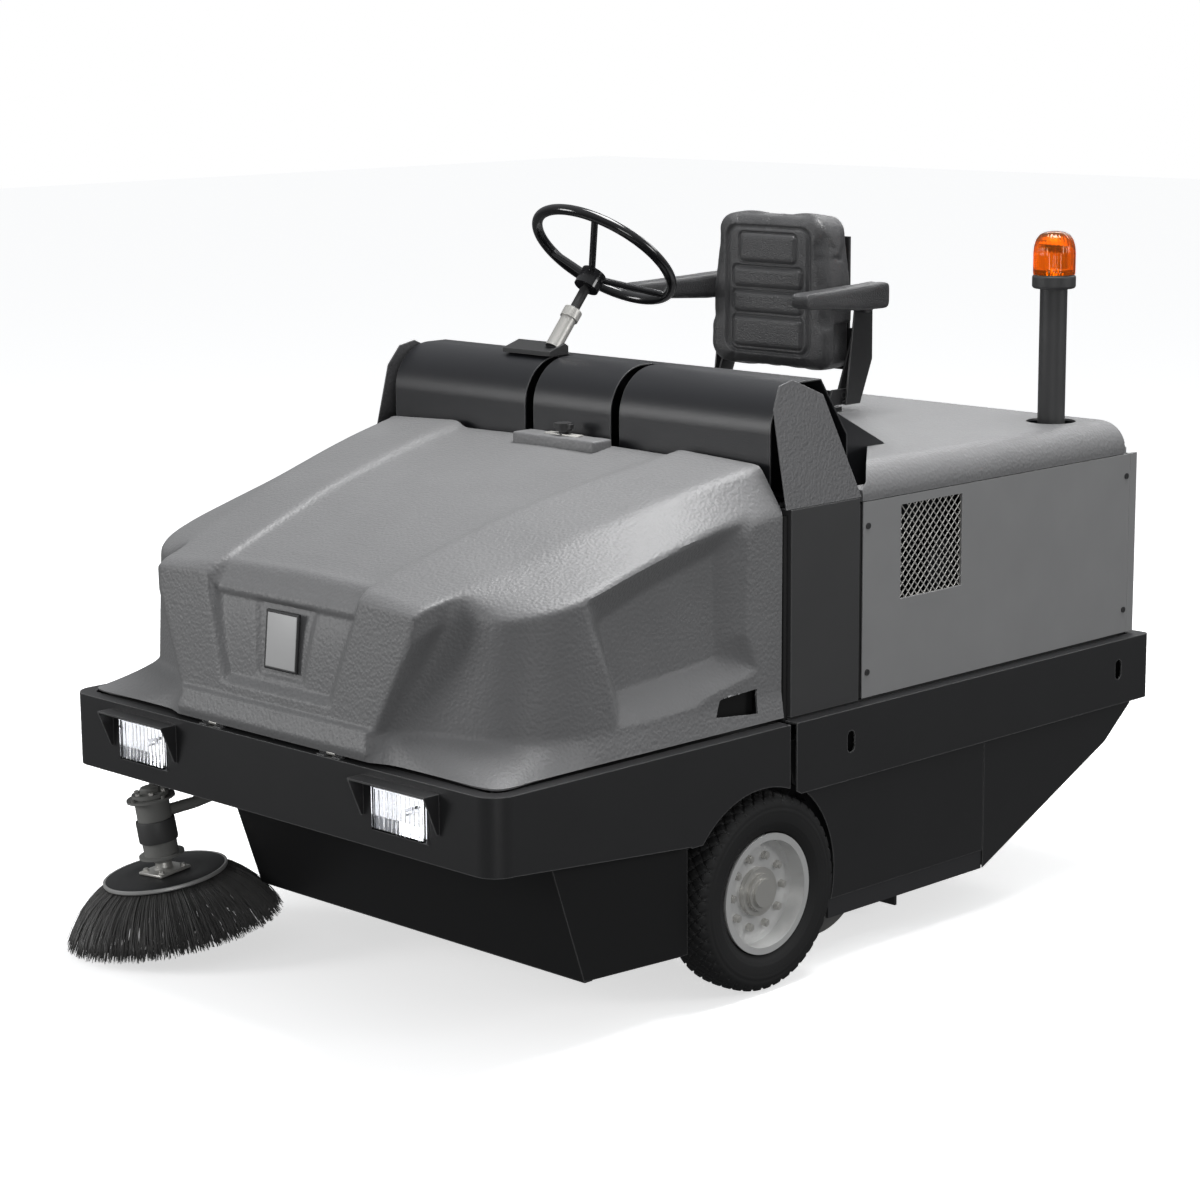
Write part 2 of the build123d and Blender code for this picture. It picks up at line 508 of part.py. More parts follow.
dome_r = 57.0
with BuildPart() as beacon_dome:
    rod((*BEACON, 1633), (*BEACON, 1748), dome_r)
    crown = beacon_dome.edges().filter_by(GeomType.CIRCLE).sort_by(Axis.Z)[-1]
    fillet(crown, dome_r - 6)
    offset(amount=-4, openings=beacon_dome.faces().sort_by(Axis.Z)[0])

with BuildPart() as beacon_reflector:
    rod((*BEACON, 1633 + TOUCH), (*BEACON, 1650), 12)
    block((BEACON[0] - 34, BEACON[0] + 34), (BEACON[1] - 3, BEACON[1] + 3), (1650, 1705))

# ---------------------------------------------------------------- inside the engine bay
with BuildPart() as engine:
    block((60, 420), (1700, 2120), (560, 900))
    block((110, 370), (1740, 2080), (900, 1060))
    for rib in range(5):
        block((90, 390), (1760 + 64 * rib, 1780 + 64 * rib), (900, 1020))
    rod((420, 1910, 730), (520, 1910, 730), 60)
    for foot_x in (90, 330):
        block((foot_x, foot_x + 60), (1720, 2100), (DECK_Z + 6, 560))

fan_at = (560.0, 1535.0 + 375.0, 730.0)
with BuildPart() as cooling_fan:
    rod((fan_at[0] - 40 + TOUCH, *fan_at[1:]), (fan_at[0] + 12, *fan_at[1:]), 38)
    for blade in range(6):
        turn = radians(60 * blade)
        tip = (fan_at[1] + 150 * cos(turn), fan_at[2] + 150 * sin(turn))
        rod((fan_at[0] - 8, *fan_at[1:]), (fan_at[0] - 8, *tip), 11)

with BuildPart() as radiator:
    block((600, 650), (1700, 2120), (DECK_Z + 6, 960))
    block((610, 640), (1720, 2100), (960, 990))

with BuildPart() as fuel_tank_and_battery:
    block((-560, -120), (2140, 2360), (DECK_Z + 6, 900))
    tank_edges = fuel_tank_and_battery.edges().filter_by(Axis.Z)
    fillet(tank_edges, 30)
    rod((-460, 2250, 900), (-460, 2250, 935), 34)
    block((-520, -200), (1680, 1850), (DECK_Z + 6, 720))
    for post_x in (-480, -240):
        rod((post_x, 1765, 720), (post_x, 1765, 738), 9)

# Hydraulic tank on the deck, and the barrels of the two lift rams on the front cross beam.
ram_x = SLOT_X - 24
with BuildPart() as hydraulics:
    block((-560, -120), (1880, 2100), (DECK_Z + 6, 820))
    rod((-200, 1990, 820), (-200, 1990, 850), 28)
    for side in (-1, 1):
        rod((side * ram_x, CAM_Y, 500), (side * ram_x, CAM_Y, 1050), 25)
        rod((side * ram_x, CAM_Y, 520), (side * ram_x, CAM_Y, 1060), 14 + FIT, Mode.SUBTRACT)

# ---------------------------------------------------------------- main brush
end_x = ROLLER_HALF + 38
with BuildPart() as main_brush_housing:
    shell = [(1106, 150), (1106, 340), (1188, 434), (1500, 434), (1592, 340), (1592, 150)]
    inside = [(1109, 149), (1109, 338), (1190, 431), (1499, 431), (1589, 338), (1589, 149)]
    plate(shell, (-end_x - 3, end_x + 3))
    plate(inside, (-end_x, end_x), Mode.SUBTRACT)
    rod((-end_x - 5, SWING_Y, SWING_Z), (end_x + 5, SWING_Y, SWING_Z), 10 + FIT, Mode.SUBTRACT)
    # rubber flaps and side seals
    blocks((728, 736), (1165, brush_panel_y), (120, 230))
    block((-end_x, end_x), (1592, 1600), (30, 190))
    block((-end_x, end_x), (1098, 1106), (60, 190))

with BuildPart() as main_brush_arms:
    rod((-end_x - 3, SWING_Y, SWING_Z), (end_x + 3, SWING_Y, SWING_Z), 10)
    rod((-end_x + 2, SWING_Y, SWING_Z), (end_x - 2, SWING_Y, SWING_Z), 15)
    arm_line = [(ROLLER_Y - 24, ROLLER_Z + 24), (ROLLER_Y - 24, ROLLER_Z - 24), (SWING_Y + 12, SWING_Z - 18),
                (SWING_Y + 18, SWING_Z + 18)]
    plates(arm_line, (end_x - 16, end_x - 6))
    for side in (-1, 1):
        rod((side * (end_x - 8), ROLLER_Y, ROLLER_Z), (side * (ROLLER_HALF - 22), ROLLER_Y, ROLLER_Z), 12)

with BuildPart() as main_brush_roller:
    rod((-ROLLER_HALF, ROLLER_Y, ROLLER_Z), (ROLLER_HALF, ROLLER_Y, ROLLER_Z), 100)
    rod((-ROLLER_HALF + 4, ROLLER_Y, ROLLER_Z), (ROLLER_HALF - 4, ROLLER_Y, ROLLER_Z), ROLLER_R)
    rod((-ROLLER_HALF, ROLLER_Y, ROLLER_Z), (ROLLER_HALF, ROLLER_Y, ROLLER_Z), 12 + FIT, Mode.SUBTRACT)

# ---------------------------------------------------------------- side brush
lean_to = (-0.595, -0.804)
brush_up = Vector(lean_to[0] * sin(radians(BRUSH_TILT)), lean_to[1] * sin(radians(BRUSH_TILT)),
                  cos(radians(BRUSH_TILT)))
brush_at = Vector(BRUSH_X, BRUSH_Y, BRUSH_Z)
brush_plane = Plane(origin=brush_at, x_dir=(1, 0, 0), z_dir=brush_up)


HOSE_R = 9.0
hose_ends_y = 519.0
hose_routes = [
    [(-596, 141, 424), (-590, 156, 458), (-575, 205, 488), (-560, 286, 486), (-553, 392, 456), (-555, 519, 446)],
    [(-634, 135, 424), (-634, 152, 464), (-628, 206, 504), (-620, 300, 500), (-612, 410, 466), (-608, 519, 452)],
]


def on_brush(height):
    """Point on the side brush's axis above its disc."""
    return brush_at + brush_up * height


with BuildPart() as side_brush_arm:
    beam_end = (-600.0, 236.0, 352.0)
    rod((-577 + TOUCH, *brush_pivot[1:]), (-546 - TOUCH, *brush_pivot[1:]), 22)
    rod((-562, 800, 449), beam_end, 15)
    rod(beam_end, on_brush(165), 15)
    rod((-585, *brush_pivot[1:]), (-540, *brush_pivot[1:]), 7 + FIT, Mode.SUBTRACT)
    rod(on_brush(206), on_brush(212), 62)
    rod(on_brush(56), on_brush(62), 58)
    rod(on_brush(62), on_brush(206), 44)
    for stud in range(4):
        turn = radians(90 * stud)
        spot = brush_plane.from_local_coords(Vector(54 * cos(turn), 54 * sin(turn), 212))
        rod(spot, spot + brush_up * 7, 5)
    rod(on_brush(55), on_brush(213), 30, Mode.SUBTRACT)
    # clamp where the hoses reach the arm
    block((-626, -540), (hose_ends_y + 1.5, hose_ends_y + 12), (384, 466))

with BuildPart() as side_brush_motor:
    rod(on_brush(63), on_brush(213), 30)
    rod(on_brush(40), on_brush(63), 24)
    # manifold with the two hose ports
    rod(on_brush(213), on_brush(224), 47)
    for route in hose_routes:
        port = Vector(route[0])
        rod(port - Vector(4, 6, 28), port - Vector(0, 1, 2), 8)

with BuildPart() as side_brush_disc:
    rod(on_brush(0), on_brush(12), BRUSH_DISC_R)
    rod(on_brush(12), on_brush(40 - TOUCH), 18)
    with BuildSketch(brush_plane.offset(12)):
        Rectangle(96, 96)
    extrude(amount=8)
    for bolt in range(4):
        turn = radians(45 + 90 * bolt)
        spot = brush_plane.from_local_coords(Vector(48 * cos(turn), 48 * sin(turn), 20))
        rod(spot, spot + brush_up * 7, 7)

with BuildPart() as side_brush_bristles:
    with BuildSketch(Plane(origin=brush_at, x_dir=brush_plane.x_dir, z_dir=brush_plane.y_dir * -1)):
        with BuildLine():
            Polyline((96, 0), (BRUSH_DISC_R - 2, 0), (BRUSH_DISC_R + 6, -6), (BRUSH_TIP_R, -136), (248, -136),
                     (96, -8), close=True)
        make_face()
    revolve(axis=Axis(brush_at, brush_up))

hoses = []
for route in hose_routes:
    corners = []
    for before, here, after in zip(route, route[1:], route[2:]):
        run_in, run_out = Vector(here) - Vector(before), Vector(after) - Vector(here)
        turn = radians(run_in.get_angle(run_out))
        corners.append(0.45 * min(run_in.length, run_out.length) / tan(turn / 2))
    print("hose radii", [round(r) for r in corners])
    with BuildPart() as hose:
        with BuildLine() as path:
            FilletPolyline(*route, radius=corners)
        with BuildSketch(Plane(origin=path.line @ 0, z_dir=path.line % 0)):
            Circle(HOSE_R)
        sweep(path=path.line)
    hoses.append(hose.part)

with BuildPart() as side_brush_hoses:
    add(hoses)

# ---------------------------------------------------------------- front wheels
wheel_mid = WHEEL_OUT - WHEEL_W / 2
wheel_pieces = {}


def stud_spots():
    """Centres (y, z) of the wheel studs."""
    for nut in range(NUT_COUNT):
        turn = radians(360 / NUT_COUNT * nut)
        yield WHEEL_Y + NUT_PCD / 2 * cos(turn), WHEEL_R + NUT_PCD / 2 * sin(turn)


for side, word in ((1, "left"), (-1, "right")):
    def across(dx):
        """Point on the wheel's axis, dx towards the outside from its middle plane."""
        return (side * (wheel_mid + dx), WHEEL_Y, WHEEL_R)

    def ring_section(points):
        """A wheel section, (radius, dx) points, turned round the axle."""
        with BuildSketch(Plane(origin=across(0), x_dir=(0, 0, 1), z_dir=(0, side, 0))) as section:
            with BuildLine():
                Polyline(*points, close=True)
            make_face()
        revolve(section.sketch, axis=Axis(across(0), (1, 0, 0)))

    flank = WHEEL_W / 2
    wall = WHEEL_R - RIM_R
    with BuildPart() as tyre:
        ring_section([(RIM_SEAT_R, -50), (RIM_R, -50), (RIM_R, -57), (RIM_R + wall / 8, -flank + 3),
                      (RIM_R + wall * 3 / 8, -flank), (WHEEL_R - 26, -flank), (WHEEL_R - 10, -flank + 7), (WHEEL_R, -flank + 18),
                      (WHEEL_R, flank - 18), (WHEEL_R - 10, flank - 7), (WHEEL_R - 26, flank),
                      (RIM_R + wall * 3 / 8, flank), (RIM_R + wall / 8, flank - 3), (RIM_R, 57), (RIM_R, 50), (RIM_SEAT_R, 50)])
    with BuildPart() as rim:
        ring_section([(RIM_SEAT_R, -50), (RIM_R, -50), (RIM_R, -56), (RIM_SEAT_R - 8, -56), (RIM_SEAT_R - 8, 2),
                      (118, 2), (100, 8), (46, 8), (46, 16), (104, 16), (122, 10), (RIM_SEAT_R - 8, 10),
                      (RIM_SEAT_R - 8, 56), (RIM_R, 56), (RIM_R, 50), (RIM_SEAT_R, 50)])
        for y, z in stud_spots():
            rod((side * wheel_mid, y, z), (side * (wheel_mid + 20), y, z), STUD_R, Mode.SUBTRACT)
    with BuildPart() as hub:
        rod(across(-54), across(40), 45.5)
        rod(across(0), across(8), 100)
        rod(across(16), across(30), 60)
        rod(across(40), across(48), 35)
        rod(across(-55), across(36), STUB_R + FIT, Mode.SUBTRACT)
        for y, z in stud_spots():
            rod((side * (wheel_mid - 1), y, z), (side * (wheel_mid + 8.1), y, z), STUD_R, Mode.SUBTRACT)
        # ten studs with their nuts, loose in the hub's holes
        for y, z in stud_spots():
            rod((side * (wheel_mid + 0.5), y, z), (side * (wheel_mid + 30), y, z), STUD_R - FIT)
            with BuildSketch(Plane(origin=(side * (wheel_mid + 16.05), y, z), z_dir=(side, 0, 0))):
                RegularPolygon(10.5, 6)
            extrude(amount=12)
    for name, piece in (("tyre", tyre), ("rim", rim), ("hub", hub)):
        wheel_pieces[f"front_{name}_{word}"] = piece

# ---------------------------------------------------------------- rear wheel
with BuildPart() as rear_yoke:
    rod((0, REAR_WHEEL_Y, 404), (0, REAR_WHEEL_Y, 430 - TOUCH), 92)
    rod((0, REAR_WHEEL_Y, 420), (0, REAR_WHEEL_Y, 470), 30)
    yoke_in = REAR_WHEEL_W / 2 + 8
    blocks((yoke_in, yoke_in + 12), (REAR_WHEEL_Y - 50, REAR_WHEEL_Y + 50), (REAR_WHEEL_R - 40, 412))
    rod((-yoke_in - 12, REAR_WHEEL_Y, REAR_WHEEL_R), (yoke_in + 12, REAR_WHEEL_Y, REAR_WHEEL_R), 15)

rear_half = REAR_WHEEL_W / 2
rear_core_r = 110.0
with BuildPart() as rear_wheel:
    rod((-rear_half, REAR_WHEEL_Y, REAR_WHEEL_R), (rear_half, REAR_WHEEL_Y, REAR_WHEEL_R), REAR_WHEEL_R)
    tyre_rims = rear_wheel.edges().filter_by(GeomType.CIRCLE)
    fillet(tyre_rims, 14)
    rod((-100, REAR_WHEEL_Y, REAR_WHEEL_R), (100, REAR_WHEEL_Y, REAR_WHEEL_R), rear_core_r, Mode.SUBTRACT)
    # solid tyre around a cast core
    rod((-rear_half, REAR_WHEEL_Y, REAR_WHEEL_R), (rear_half, REAR_WHEEL_Y, REAR_WHEEL_R), rear_core_r - FIT)
    rod((-rear_half - 4, REAR_WHEEL_Y, REAR_WHEEL_R), (rear_half + 4, REAR_WHEEL_Y, REAR_WHEEL_R), 30)
    rod((-100, REAR_WHEEL_Y, REAR_WHEEL_R), (100, REAR_WHEEL_Y, REAR_WHEEL_R), 15 + FIT, Mode.SUBTRACT)

# ---------------------------------------------------------------- lift gear
slope_rad = atan((PIVOT[1] - HANGER[1]) / (PIVOT[0] - HANGER[0]))
across_y, across_z = sin(slope_rad) * ARM_DEPTH / 2, cos(slope_rad) * ARM_DEPTH / 2
cam_z = PIVOT[1] - (PIVOT[0] - CAM_Y) * tan(slope_rad)
cam_r = 18.0
with BuildPart() as lift_arms:
    arm_outline = [(HANGER[0] - across_y, HANGER[1] + across_z), (PIVOT[0] - across_y, PIVOT[1] + across_z),
                   (PIVOT[0] + across_y, PIVOT[1] - across_z), (HANGER[0] + across_y, HANGER[1] - across_z)]
    plates(arm_outline, (SLOT_X - ARM_T / 2, SLOT_X + ARM_T / 2))
    for side in (-1, 1):
        for y, z, boss in ((*PIVOT, 38), (*HANGER, 34)):
            rod((side * (SLOT_X - 20), y, z), (side * (SLOT_X + 20), y, z), boss)
            rod((side * (SLOT_X - 25), y, z), (side * (SLOT_X + 25), y, z), PIVOT_PIN_R + FIT, Mode.SUBTRACT)
        rod((side * (SLOT_X - 34), CAM_Y, cam_z), (side * SLOT_X, CAM_Y, cam_z), cam_r)

head_top = cam_z - cam_r - 1.5
with BuildPart() as lift_ram_rods:
    for side in (-1, 1):
        rod((side * ram_x, CAM_Y, 760), (side * ram_x, CAM_Y, head_top - 8), 14)
        head_x = (side * (SLOT_X - 36), side * (SLOT_X - 10))
        block((min(head_x), max(head_x)), (CAM_Y - 34, CAM_Y + 40), (head_top - 12, head_top))

# ---------------------------------------------------------------- driver's place
seat_left, seat_right = SEAT_X + SEAT_W / 2, SEAT_X - SEAT_W / 2
with BuildPart() as seat_plinth:
    block((seat_right + 22, seat_left - 22), (FOOT_REAR + 20, 2020), (COVER_TOP, COVER_TOP + 12))
    for rail_x in (seat_right + 60, seat_left - 90):
        block((rail_x, rail_x + 30), (FOOT_REAR + 25, 2015), (COVER_TOP + 12, COVER_TOP + 20))

pan_z = COVER_TOP + 20 + TOUCH
recline_z = pan_z + 26
arm_pin = (2075.0, 1530.0)
with BuildPart() as seat_pan:
    block((seat_right + 12, seat_left - 12), (1520, 2010), (pan_z, pan_z + 6))
    for x in ((seat_left - 12, seat_left - 6), (seat_right + 6, seat_right + 12)):
        plate([(1940, pan_z), (1960, pan_z + 44), (2025, pan_z + 44), (2025, pan_z)], x)
        block(x, (1640, 1945), (pan_z, pan_z + 14))
    # upright plates that carry the armrests
    for x in ((seat_left + 4, seat_left + 9), (seat_right - 9, seat_right - 4)):
        plate([(2000, pan_z), (2040, 1560), (2110, 1560), (2110, 1380), (2060, pan_z)], x)
    for x in ((seat_left - 8, seat_left + 9), (seat_right - 9, seat_right + 8)):
        block(x, (2004, 2024), (pan_z, pan_z + 10))
    for side_x in (seat_left + 2, seat_right - 12):
        rod((side_x, *arm_pin), (side_x + 10, *arm_pin), 12 + FIT, Mode.SUBTRACT)
    for side_x in (seat_left - 13, seat_right + 5):
        rod((side_x, 2008, recline_z), (side_x + 8, 2008, recline_z), 8 + FIT, Mode.SUBTRACT)

cushion_low = pan_z + 6
cushion_top = 1326.0
with BuildPart() as seat_cushion:
    block((seat_right + 14, seat_left - 14), (1500, 1934), (cushion_low, cushion_top))
    cushion_edges = seat_cushion.edges().filter_by(Axis.Z)
    fillet(cushion_edges, 60)
    cushion_rim = seat_cushion.faces().sort_by(Axis.Z)[-1].edges()
    fillet(cushion_rim, 20)

back_y = (1957.0, 2065.0)
back_low = 1338.0
back_top = 1786.0
with BuildPart() as seat_back_frame:
    block((seat_right + 40, seat_left - 40), (back_y[1], back_y[1] + 8), (back_low + 10, back_top - 70))
    block((seat_right + 12.5, seat_left - 12.5), (back_y[1], back_y[1] + 8), (1365, 1465))
    for x in ((seat_left - 18.5, seat_left - 12.5), (seat_right + 12.5, seat_right + 18.5)):
        plate([(1994, recline_z - 12), (1994, recline_z + 14), (2062, 1470), (2073, 1470), (2073, 1360),
               (2022, recline_z - 12)], x)
    rod((seat_right + 6.5, 2008, recline_z), (seat_left - 6.5, 2008, recline_z), 8)

with BuildPart() as backrest_cushion:
    with BuildSketch(Plane.XZ.offset(-back_y[0])) as back_outline:
        with BuildLine():
            Polyline((seat_right + 6, back_low), (seat_left - 6, back_low), (seat_left - 6, 1560),
                     (seat_left - 40, back_top), (seat_right + 40, back_top), (seat_right + 6, 1560), close=True)
        make_face()
        fillet(back_outline.vertices().group_by(Axis.Y)[-1], 56)
        fillet(back_outline.vertices().group_by(Axis.Y)[0], 60)
    extrude(amount=-(back_y[1] - back_y[0]))
    back_rim = backrest_cushion.faces().sort_by(Axis.Y)[0].edges()
    fillet(back_rim, 26)
    # room for the hinge plates at the lower corners
    for x in ((seat_left - 20, seat_left), (seat_right, seat_right + 20)):
        block(x, (1985, 2066), (back_low - 10, 1480), Mode.SUBTRACT)

rest_pieces = {}
for inner_x, turn, word in ((seat_left + 9 + TOUCH, 1, "left"), (seat_right - 9 - TOUCH, -1, "right")):
    outer_x = inner_x + turn * 62
    front_y = 1764.0 if turn > 0 else 1690.0
    with BuildPart() as armrest:
        x_pair = (min(inner_x, outer_x), max(inner_x, outer_x))
        plate([(front_y, 1545), (front_y, 1585), (2113, 1598), (2113, 1524), (2000, 1524)], x_pair)
        fillet(armrest.edges().filter_by(Axis.X), 14)
        rod((inner_x, *arm_pin), (inner_x - turn * 12, *arm_pin), 12)
        rod((inner_x, *arm_pin), (inner_x + turn * 20, *arm_pin), 22)
    rest_pieces[f"armrest_{word}"] = armrest

COLUMN_LEAN = 40.0
column_dir = Vector(0, sin(radians(COLUMN_LEAN)), cos(radians(COLUMN_LEAN)))
column_at = Vector(SEAT_X - 2, 1122, 1470)


def on_column(distance):
    """Point on the steering column's line."""
    return column_at + column_dir * distance


with BuildPart() as steering_column:
    rod(on_column(4), on_column(112), 21)
    rod(on_column(96), on_column(124), 25)
    rod(on_column(124), on_column(190), 13)
    rod(on_column(190), on_column(206), 10)
    # wedge bracket on the cowl, and the steering valve under it
    plate([(1088, COWL_TOP), (1088, COWL_TOP + 12), (1146, COWL_TOP + 30), (1158, COWL_TOP + 22), (1158, COWL_TOP)],
          (-332, -SLOT_X - 2))
    block((-262, -SLOT_X - 18), (1134, 1178), (1352, COWL_TOP - SHEET))

RIM_OUT_R = 211.0
GRIP_R = 14.0
wheel_up = on_column(302)
wheel_plane = Plane(origin=wheel_up, x_dir=(1, 0, 0), z_dir=column_dir)
with BuildPart() as steering_wheel:
    with Locations(wheel_plane):
        Torus(RIM_OUT_R - GRIP_R, GRIP_R)
    rod(on_column(196 + TOUCH), on_column(244), 34)
    for turn in (-60, 60, 180):
        grip_at = Vector(cos(radians(turn)), sin(radians(turn)), 0) * (RIM_OUT_R - GRIP_R)
        rod(on_column(228), wheel_plane.from_local_coords(grip_at), 9)
    rod(on_column(195), on_column(207), 10 + FIT, Mode.SUBTRACT)

with BuildPart() as drive_pedal:
    plate([(1345, 968), (1350, 976), (1470, 934), (1468, 926)], (SEAT_X - 150, SEAT_X - 70))
    rod((SEAT_X - 150, 1406, 940), (SEAT_X - 70, 1406, 940), 9)
    rod((SEAT_X - 151, 1406, 940), (SEAT_X - 69, 1406, 940), 6 + FIT, Mode.SUBTRACT)

with BuildPart() as brake_pedal:
    block((SEAT_X + 40, SEAT_X + 110), (1352, 1360), (980, 1040))
    plate([(1360, 1000), (1360, 1014), (1404, 946), (1398, 934), (1388, 934)], (SEAT_X + 68, SEAT_X + 82))
    rod((SEAT_X + 60, 1396, 938), (SEAT_X + 90, 1396, 938), 11)
    rod((SEAT_X + 50, 1396, 938), (SEAT_X + 100, 1396, 938), 6 + FIT, Mode.SUBTRACT)

# ---------------------------------------------------------------- the whole machine
pieces = {
    "front_bumper": front_bumper, "rear_bumper": rear_bumper, "hopper_frame": hopper_frame,
    "dust_container": dust_container, "filter_cassettes": filter_cassettes, "front_skirt": front_skirt,
    "hood": hood, "hood_hinge_leaves": hood_hinge_leaves, "latch_knob": latch_knob,
    "headlight_visors": headlight_visors, "headlight_housings": headlight_housings,
    "headlight_lenses": headlight_lenses, "main_frame": main_frame, "lower_panels": lower_panels, "cowl": cowl,
    "pillar_panels": pillar_panels, "cowl_end_plates": cowl_end_plates, "footwell": footwell,
    "engine_cover": engine_cover, "side_panels": side_panels, "side_grille": side_grille,
    "panel_screws": panel_screws, "rear_panel": rear_panel, "beacon_pole": beacon_pole,
    "beacon_dome": beacon_dome, "beacon_reflector": beacon_reflector, "engine": engine,
    "cooling_fan": cooling_fan, "radiator": radiator, "fuel_tank_and_battery": fuel_tank_and_battery,
    "hydraulics": hydraulics, "main_brush_housing": main_brush_housing,
    "main_brush_arms": main_brush_arms, "main_brush_roller": main_brush_roller,
    "side_brush_arm": side_brush_arm, "side_brush_motor": side_brush_motor,
    "side_brush_disc": side_brush_disc, "side_brush_bristles": side_brush_bristles,
    "side_brush_hoses": side_brush_hoses, **wheel_pieces, "rear_yoke": rear_yoke, "rear_wheel": rear_wheel,
    "lift_arms": lift_arms, "lift_ram_rods": lift_ram_rods, "seat_plinth": seat_plinth, "seat_pan": seat_pan,
    "seat_cushion": seat_cushion, "seat_back_frame": seat_back_frame, "backrest_cushion": backrest_cushion,
    **rest_pieces, "steering_column": steering_column, "steering_wheel": steering_wheel,
    "drive_pedal": drive_pedal, "brake_pedal": brake_pedal,
}

whole = Compound([piece.part for piece in pieces.values()]).bounding_box()
origin = Vector((whole.min.X + whole.max.X) / 2, (whole.min.Y + whole.max.Y) / 2, whole.min.Z)
for name, piece in pieces.items():
    placed = piece.part.moved(Location(-origin))
    placed.label = name
    export_step(placed, f"parts/{name}.step")
print(len(pieces), "pieces; origin at", origin, "size", whole.size)
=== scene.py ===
import json
import math
import random

import bmesh
import bpy
import numpy as np
from mathutils import Matrix, Vector

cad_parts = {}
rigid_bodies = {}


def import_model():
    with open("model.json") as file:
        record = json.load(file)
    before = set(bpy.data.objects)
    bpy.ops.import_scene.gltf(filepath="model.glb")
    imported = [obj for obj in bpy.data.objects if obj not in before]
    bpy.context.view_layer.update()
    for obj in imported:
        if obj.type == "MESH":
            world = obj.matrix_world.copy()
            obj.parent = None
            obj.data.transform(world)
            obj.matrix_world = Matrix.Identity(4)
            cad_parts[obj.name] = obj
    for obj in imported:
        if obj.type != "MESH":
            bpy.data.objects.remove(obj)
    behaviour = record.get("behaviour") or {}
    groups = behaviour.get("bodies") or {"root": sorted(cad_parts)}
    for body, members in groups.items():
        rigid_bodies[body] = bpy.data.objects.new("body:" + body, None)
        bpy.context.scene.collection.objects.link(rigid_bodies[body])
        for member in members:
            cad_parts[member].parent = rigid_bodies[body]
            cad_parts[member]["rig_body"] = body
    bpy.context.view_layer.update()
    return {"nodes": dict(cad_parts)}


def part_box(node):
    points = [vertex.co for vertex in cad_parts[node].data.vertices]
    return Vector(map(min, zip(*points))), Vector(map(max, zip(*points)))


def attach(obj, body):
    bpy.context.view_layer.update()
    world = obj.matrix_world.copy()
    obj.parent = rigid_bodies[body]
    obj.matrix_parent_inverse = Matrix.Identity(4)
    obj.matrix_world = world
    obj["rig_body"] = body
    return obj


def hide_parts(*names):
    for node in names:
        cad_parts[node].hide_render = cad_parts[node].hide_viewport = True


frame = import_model()

# ------------------------------------------------------------------ studio
# A plain pale floor under a white surround. A large soft box above gives the main light, with boxes at
# the front left and the right, a low fill, and a long strip behind that lights the upper edges.
FLOOR_SIZE = 60.0
FLOOR_WHITE = (0.93, 0.93, 0.93, 1)
FLOOR_GLOW = 0.62
SKY_TINT = (0.96, 0.98, 1.0, 1)
SKY_HEIGHTS = (-0.25, 0.9)
SKY_STRENGTHS = (0.10, 0.46)
LAMPS = [
    ("key_box", (0.5, 0.9, 5.8), (0.1, -0.2, 0.8), (3.0, 2.4), 340),
    ("front_box", (-4.5, -6.5, 2.4), (0, -0.8, 0.7), (2.6, 2.2), 185),
    ("side_box", (7.0, 3.4, 2.8), (0.4, 0.6, 0.9), (2.2, 2.0), 95),
    ("rim_strip", (-1.0, 5.5, 4.2), (0, 0, 1.2), (6.0, 0.8), 70),
    ("low_fill", (5.6, -4.6, 1.1), (0.2, -0.2, 0.5), (2.6, 1.6), 60),
]
CAMERA_AT = Vector((5.42176, -5.39691, 2.3240))
AZIMUTH, ELEVATION, ROLL = (math.radians(a) for a in (45.13, 11.12, -0.45))
LENS, SENSOR = 89.57, 36.0

bpy.ops.object.select_all(action="DESELECT")
bpy.ops.mesh.primitive_plane_add(size=FLOOR_SIZE, location=(0, 0, 0))
floor = bpy.context.object
floor.name = "floor"
floor.visible_diffuse = floor.visible_glossy = False
floor_paint = bpy.data.materials.new("floor_paint")
floor_paint.use_nodes = True
floor_shader = floor_paint.node_tree.nodes["Principled BSDF"]
floor_shader.inputs["Base Color"].default_value = FLOOR_WHITE
floor_shader.inputs["Roughness"].default_value = 0.7
floor_shader.inputs["Specular IOR Level"].default_value = 0.2
floor_shader.inputs["Emission Color"].default_value = (1, 1, 1, 1)
floor_shader.inputs["Emission Strength"].default_value = FLOOR_GLOW
floor.data.materials.append(floor_paint)

world = bpy.data.worlds.new("surround")
bpy.context.scene.world = world
world.use_nodes = True
sky = world.node_tree
sky.nodes.clear()
out = sky.nodes.new("ShaderNodeOutputWorld")
choose = sky.nodes.new("ShaderNodeMixShader")
path = sky.nodes.new("ShaderNodeLightPath")
seen = sky.nodes.new("ShaderNodeBackground")
lit = sky.nodes.new("ShaderNodeBackground")
way = sky.nodes.new("ShaderNodeTexCoord")
height = sky.nodes.new("ShaderNodeSeparateXYZ")
dome = sky.nodes.new("ShaderNodeMapRange")
seen.inputs["Color"].default_value = (1, 1, 1, 1)
seen.inputs["Strength"].default_value = 1.0
lit.inputs["Color"].default_value = SKY_TINT
dome.inputs["From Min"].default_value, dome.inputs["From Max"].default_value = SKY_HEIGHTS
dome.inputs["To Min"].default_value, dome.inputs["To Max"].default_value = SKY_STRENGTHS
sky.links.new(way.outputs["Generated"], height.inputs["Vector"])
sky.links.new(height.outputs["Z"], dome.inputs["Value"])
sky.links.new(dome.outputs["Result"], lit.inputs["Strength"])
sky.links.new(path.outputs["Is Camera Ray"], choose.inputs["Fac"])
sky.links.new(lit.outputs["Background"], choose.inputs[1])
sky.links.new(seen.outputs["Background"], choose.inputs[2])
sky.links.new(choose.outputs["Shader"], out.inputs["Surface"])
bpy.context.scene.view_settings.view_transform = "Standard"

